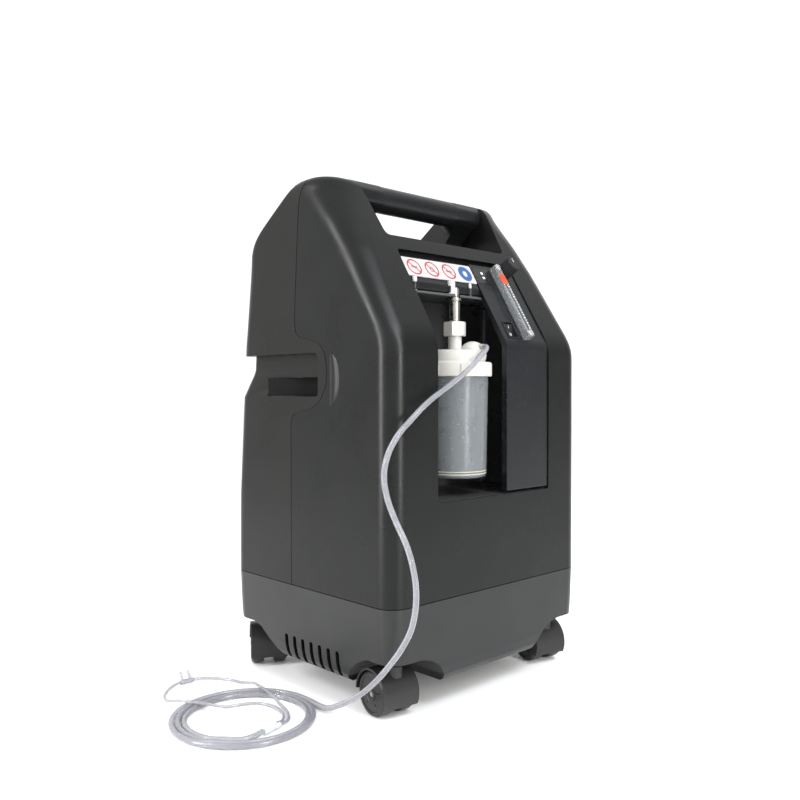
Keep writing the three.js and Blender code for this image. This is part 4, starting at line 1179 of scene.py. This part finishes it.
finish_piece(jar(), "jar_wall", JAR, "jar", ["humidifier_jar"], smooth=40)
BASE_RING = smooth_plastic("jar_base_ring", "white_plastic", (0.46, 0.44, 0.34), 0.35)
for k in range(4):
    ring_z = 261.5 + 3.2 * k
    r = 38.05 + 0.06 * k
    ring_piece = lathe(
        [(r - 0.2, ring_z), (r + 0.25, ring_z + 0.3), (r + 0.25, ring_z + 1.0), (r - 0.2, ring_z + 1.3)],
        BX, BY, 96, closed=True,
    )
    finish_piece(
        ring_piece, f"jar_base_bead_{k + 1}", JAR if k > 1 else BASE_RING, "jar", smooth=40,
    )
water_profile = [
    (0, 260.6), (31.4, 260.6), (34.0, 261.4), (35.3, 263.8), (36.6, 309.0), (36.9, 310.3), (36.0, 309.6),
    (33, 309.2), (0, 309.2),
]
water = lathe(water_profile, BX, BY, 80)
tube_path, _ = smooth_path([(BX, BY, 382.4), (BX + 6, BY - 5, 333), (BX + 12, BY - 10, 284)], 6)


def swept(path, radius, sides=28):
    """Round solid along a path that hardly turns."""
    rings = []
    for k, p in enumerate(path):
        d = path[min(k + 1, len(path) - 1)] - path[max(k - 1, 0)]
        rotation = Vector(d).to_track_quat("Z", "Y").to_matrix()
        rings.append(
            [
                tuple(
                    Vector(p) + rotation @ Vector(
                        (
                            radius * math.cos(2 * math.pi * i / sides),
                            radius * math.sin(2 * math.pi * i / sides), 0,
                        )
                    )
                )
                for i in range(sides)
            ]
        )
    return loft(rings)


cut(
    water, swept([np.array(q, float) for q in ((BX + 5.6, BY - 4.7, 336), (BX + 12, BY - 10, 284))], 3.5),
    lathe([(0, 269), (7.0, 269), (7.0, 285), (0, 285)], BX + 12, BY - 10, 32),
)
finish_piece(water, "water_fill", WATER, ROOT, ["humidifier_water"], smooth=40)
dip = swept(tube_path, 3.0)
add(
    dip,
    lathe([(0, 270), (5.6, 270), (6.5, 271), (6.5, 283), (5.4, 284.5), (0, 284.5)], BX + 12, BY - 10, 40),
)
FROST = smooth_plastic("frosted_insert", "clear_plastic", (0.70, 0.74, 0.77), 0.4)
FROST.node_tree.nodes["Principled BSDF"].inputs["Transmission Weight"].default_value = 0.35
finish_piece(dip, "dip_tube_stem", FROST, ROOT, ["humidifier_dip_tube"], smooth=40)
relief = lathe([(0, 327), (3.8, 327), (4.5, 327.8), (4.5, 382.5), (0, 382.5)], BX + 16, BY - 12, 36)
finish_piece(relief, "relief_tube_stem", FROST, ROOT, ["humidifier_relief_tube"], smooth=40)

# ---------------------------------------------------------------- casters
TRAIL, WHEEL_R = 14, 25
CASTERS = (
    ("front_left", -1, -1, 6), ("front_right", 1, -1, 14), ("rear_left", -1, 1, 31),
    ("rear_right", 1, 1, -20),
)


def sector(radius, start, end, steps):
    return [
        (TRAIL - radius * math.cos(a), WHEEL_R + radius * math.sin(a))
        for a in np.linspace(start, end, steps)
    ]


def caster_fork():
    start = math.asin((12 - WHEEL_R) / 28.4)
    hood_ring = sector(28.4, start, math.pi, 40) + sector(26.2, start, math.pi, 40)[::-1]
    hood = prism(hood_ring, "x", -23.5, 23.5)
    web = [(TRAIL, WHEEL_R - 7), *sector(27, start, math.pi, 30), (TRAIL + 8, WHEEL_R - 5)]
    made = add(hood, prism(web, "x", -5, 5))
    boss = lathe([(0, 44), (8.5, 44), (8.5, 56.6), (7.2, 58), (0, 58)], sides=40)
    clear_drum = turned(
        lathe([(0, -60), (26.2, -60), (26.2, 60), (0, 60)], sides=72),
        posed(0, TRAIL, WHEEL_R, math.pi / 2, "Y"),
    )
    cut(boss, clear_drum)
    add(made, boss, lathe([(0, 50), (5.5, 50), (5.5, 81), (4.6, 82), (0, 82)], sides=32))
    cut(
        made,
        turned(
            lathe([(0, -60), (3.3, -60), (3.3, 60), (0, 60)], sides=32),
            posed(0, TRAIL, WHEEL_R, math.pi / 2, "Y"),
        ),
    )
    return made


def caster_wheel(side):
    r = WHEEL_R
    profile = [
        (3.3, 6), (r - 3, 6), (r - 0.9, 6.9), (r, 9), (r, 19.4), (r - 0.7, 21.2), (r - 2.6, 22.5),
        (r - 4.6, 22.5), (r - 5.2, 21.5),
        (r - 6.6, 21.3), (r - 9, 21.7), (9.4, 22.3), (8.6, 21.6), (6.8, 21.4), (6.2, 22.5), (3.3, 22.5),
    ]
    made = lathe(profile, 0, 0, 64, closed=True)
    for k in range(5):
        a = 2 * math.pi * k / 5
        cut(
            made,
            turned(
                rounded_block(-2.0, 2.0, -0.9, 0.9, 21.2, 24, "z", 0.8, 3),
                posed(13.4 * math.cos(a), 13.4 * math.sin(a), 0, a, "Z"),
            ),
        )
    return turned(made, posed(0, TRAIL, WHEEL_R, side * math.pi / 2, "Y"))


for tag, side_x, side_y, yaw in CASTERS:
    place = posed(side_x * 137, side_y * 121, 0, -math.radians(yaw), "Z")
    finish_piece(
        turned(caster_fork(), place), f"fork_{tag}", CASTER, f"caster_{tag}",
        [f"caster_{tag}_fork"], bevel=0.6,
    )
    for side, name in ((-1, "left"), (1, "right")):
        finish_piece(
            turned(caster_wheel(side), place), f"wheel_{tag}_{name}_tread", CASTER, f"wheel_{tag}_{name}",
            [f"caster_{tag}_wheel_{name}"], smooth=38,
        )

# ---------------------------------------------------------------- fittings on the tubing
def fork_piece():
    heading = Matrix.Rotation(FORK_HEADING, 4, "Z")
    place = Matrix.Translation(FORK) @ heading
    along = Matrix.Rotation(math.pi / 2, 4, "Y")
    made = turned(
        lathe([(0, -12), (3.9, -12), (4.6, -11.2), (4.6, 0.6), (4.2, 2), (0, 2)], sides=40), place @ along,
    )
    add(made, turned(lathe([(0, 0), (4.2, 0), (4.1, 4.5), (0, 4.5)], sides=40), place @ along))
    for side in (-1, 1):
        leg = lathe([(0, 1), (2.5, 1), (2.5, 11), (2.1, 12), (0, 12)], sides=28)
        add(made, turned(leg, place @ Matrix.Translation((0, side * FORK_SPREAD, 0)) @ along))
    return made


finish_piece(fork_piece(), "y_fitting", FROST, ROOT, ["y_connector"], bevel=0.3)


def prong_piece():
    x, y, z = PRONGS
    made = turned(
        lathe([(0, -9.2), (2.2, -9.2), (2.8, -8.2), (2.8, 8.2), (2.2, 9.2), (0, 9.2)], sides=32),
        posed(x, y, z, math.pi / 2, "Y"),
    )
    for side in (-5, 5):
        path, _ = smooth_path(
            [(x + side, y + 0.5, z + 0.6), (x + side, y + 3.6, z + 4.6), (x + side, y + 8.0, z + 10.4)], 2,
        )
        add(made, swept(path, 1.9, 24))
    return made


finish_piece(prong_piece(), "prongs_fitting", VINYL, ROOT, ["nasal_prongs"], bevel=0.2)

# ---------------------------------------------------------------- rear fittings
def back_at(z):
    return float(np.interp(z, SECTIONS[:, 0], SECTIONS[:, 3]))


def grille():
    y = back_at(330) - 1
    made = rounded_block(-54.7, 54.7, y - 4, y, 250.3, 329.7, "y", 3, 5)
    for i in range(7):
        z = 260 + i * 10
        cut(made, rounded_block(-49, 49, y - 10, y + 10, z - 2.6, z + 2.6, "y", 2.4, 5))
    return made


finish_piece(grille(), "rear_grille_moulding", TRIM, ROOT, ["rear_grille"], bevel=0.5)


def inlet():
    x, z, half_w, half_h = 62, 172, 14, 10.5
    y = back_at(z)
    made = rounded_block(x - 18, x + 18, y + 0.3, y + 2.5, z - 13.5, z + 13.5, "y", 3, 5)
    add(made, rounded_block(x - half_w, x + half_w, y - 24, y + 1, z - half_h, z + half_h, "y", 1.5, 4))
    well = prism(
        rounded(
            [
                (x - 11.5, z - 8), (x + 11.5, z - 8), (x + 11.5, z + 3), (x + 7.5, z + 8), (x - 7.5, z + 8),
                (x - 11.5, z + 3),
            ],
            1.2, 4,
        ),
        "y", y - 18, y + 10,
    )
    cut(made, well)
    for dx in (-7, 0, 7):
        add(made, rounded_block(x + dx - 1, x + dx + 1, y - 20, y - 4, z - 2, z + 2, "y", 0.4, 3))
    return made


finish_piece(inlet(), "mains_inlet", MATT_BLACK, ROOT, ["power_inlet"], bevel=0.3)
button = turned(
    lathe([(0, -7), (5, -7), (5, 6.2), (4.2, 7), (0, 7)], sides=40),
    posed(18, back_at(172) - 2, 172, -math.pi / 2, "X"),
)
finish_piece(button, "breaker_cap", IVORY, "breaker", ["breaker_button"], bevel=0.2)


def screw(name, place):
    """Countersunk cross-head screw, its head just below the surface around it."""
    head = lathe([(0, -1.4), (1.8, -1.4), (3.4, 0.2), (2.6, 0.55), (0, 0.75)], sides=32)
    for a in (0, math.pi / 2):
        cut(head, turned(block(-2.1, 2.1, -0.42, 0.42, -0.3, 2), Matrix.Rotation(a, 4, "Z")))
    finish_piece(turned(head, place), name, STEEL, ROOT)


back_turn = Matrix.Rotation(-math.pi / 2, 4, "X")
for k, (x, z) in enumerate(((-120, 150), (120, 150), (-120, 320), (120, 320), (-120, 440), (120, 440))):
    screw(f"rear_screw_{k + 1}", Matrix.Translation((x, back_at(z) + 0.1, z)) @ back_turn)
under_turn = Matrix.Rotation(math.pi, 4, "X")
for k, (x, y) in enumerate(((-60, -110), (60, -110), (-60, 110), (60, 110))):
    screw(f"base_screw_{k + 1}", Matrix.Translation((x, y, 30.9)) @ under_turn)

# ---------------------------------------------------------------- carried-over nodes keep their shape
BOARD = smooth_plastic("board_green", "board", (0.012, 0.075, 0.03), 0.4)
FOAM = Shader("open_foam", (0.02, 0.021, 0.023), 0.95)
FOAM.tint(0.4, 900)
FOAM.bump(FOAM.cells(900), 0.0006, 0.8)
FOAM = FOAM.done("foam")
ISOLATOR = moulded("isolator_rubber", "rubber", (0.012, 0.012, 0.012), 0.8)
BY_SLOT = {
    "trim": TRIM, "steel": STEEL, "machine_aluminium": ALLOY, "foam": FOAM, "rubber": ISOLATOR,
    "board": BOARD,
    "caster_plastic": CASTER, "white_plastic": IVORY, "black_plastic": MATT_BLACK, "clear_plastic": CLEAR,
}
slot_of = {row["node"]: row["material_slot"] for row in frame["record"]["subparts"]}
for name, node in frame["nodes"].items():
    if node.hide_render:
        continue
    node.data.materials.clear()
    node.data.materials.append(BY_SLOT.get(slot_of[name], TRIM))
    mesh = node.data
    mesh.polygons.foreach_set("use_smooth", [True] * len(mesh.polygons))
    bevel = node.modifiers.new("bevel", "BEVEL")
    bevel.width = 0.0004
    bevel.segments = 2
    bevel.limit_method = "ANGLE"
    bevel.angle_limit = math.radians(40)
    bevel.harden_normals = True

# ---------------------------------------------------------------- cords: attached to the cabinet, with the tube nodes they stand for hidden
for piece in (oxygen_tube, right_strand, left_strand):
    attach(piece, ROOT)
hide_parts("oxygen_tube_drop", "oxygen_tube_coil")
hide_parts("cannula_strand_right")
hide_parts("cannula_strand_left")

# ---------------------------------------------------------------- floor, world and lights
floor_shader = Shader("floor_white", (0.93, 0.93, 0.93), 0.55)
floor_shader.tint(0.004, 2)
floor_shader.gloss(0.5, 0.6, 6)
bpy.ops.mesh.primitive_plane_add(size=30)
floor = bpy.context.object
floor.name = "floor"
floor.data.materials.append(floor_shader.material)

world = bpy.data.worlds.new("studio")
bpy.context.scene.world = world
world.use_nodes = True
background = world.node_tree.nodes["Background"]
# White all round, with a darker card to the right of the front, as a dark studio wall would be
world_nodes, world_links = world.node_tree.nodes, world.node_tree.links
direction = world_nodes.new("ShaderNodeTexCoord")
toward = world_nodes.new("ShaderNodeVectorMath")
toward.operation = "DOT_PRODUCT"
toward.inputs[1].default_value = (0.69, -0.72, 0.0)
shade = world_nodes.new("ShaderNodeMapRange")
shade.inputs["From Min"].default_value = 0.5
shade.inputs["From Max"].default_value = 0.9
shade.inputs["To Min"].default_value = 1.0
shade.inputs["To Max"].default_value = 0.4
world_links.new(direction.outputs["Generated"], toward.inputs[0])
world_links.new(toward.outputs["Value"], shade.inputs["Value"])
world_links.new(shade.outputs["Result"], background.inputs["Color"])
background.inputs["Strength"].default_value = 1.14


def softbox(name, place, target, width, height, power, color=(1, 1, 1)):
    data = bpy.data.lights.new(name, "AREA")
    data.shape = "RECTANGLE"
    data.size = width
    data.size_y = height
    data.energy = power
    data.color = color
    light = bpy.data.objects.new(name, data)
    light.location = place
    light.rotation_euler = (Vector(target) - Vector(place)).to_track_quat("-Z", "Y").to_euler()
    bpy.context.scene.collection.objects.link(light)
    return light


softbox("softbox_left", (-2.06, 0.42, 1.0), (0, 0, 0.4), 0.42, 2.4, 75)
softbox("softbox_front", (-0.15, -2.1, 1.0), (0, 0, 0.4), 0.42, 2.4, 55, (1.0, 0.99, 0.97))
softbox("softbox_top", (0.1, -1.6, 2.4), (0, 0, 0.4), 1.6, 0.7, 40, (0.88, 0.94, 1.0))

bpy.context.scene.view_settings.view_transform = "Standard"
bpy.context.scene.view_settings.look = "None"
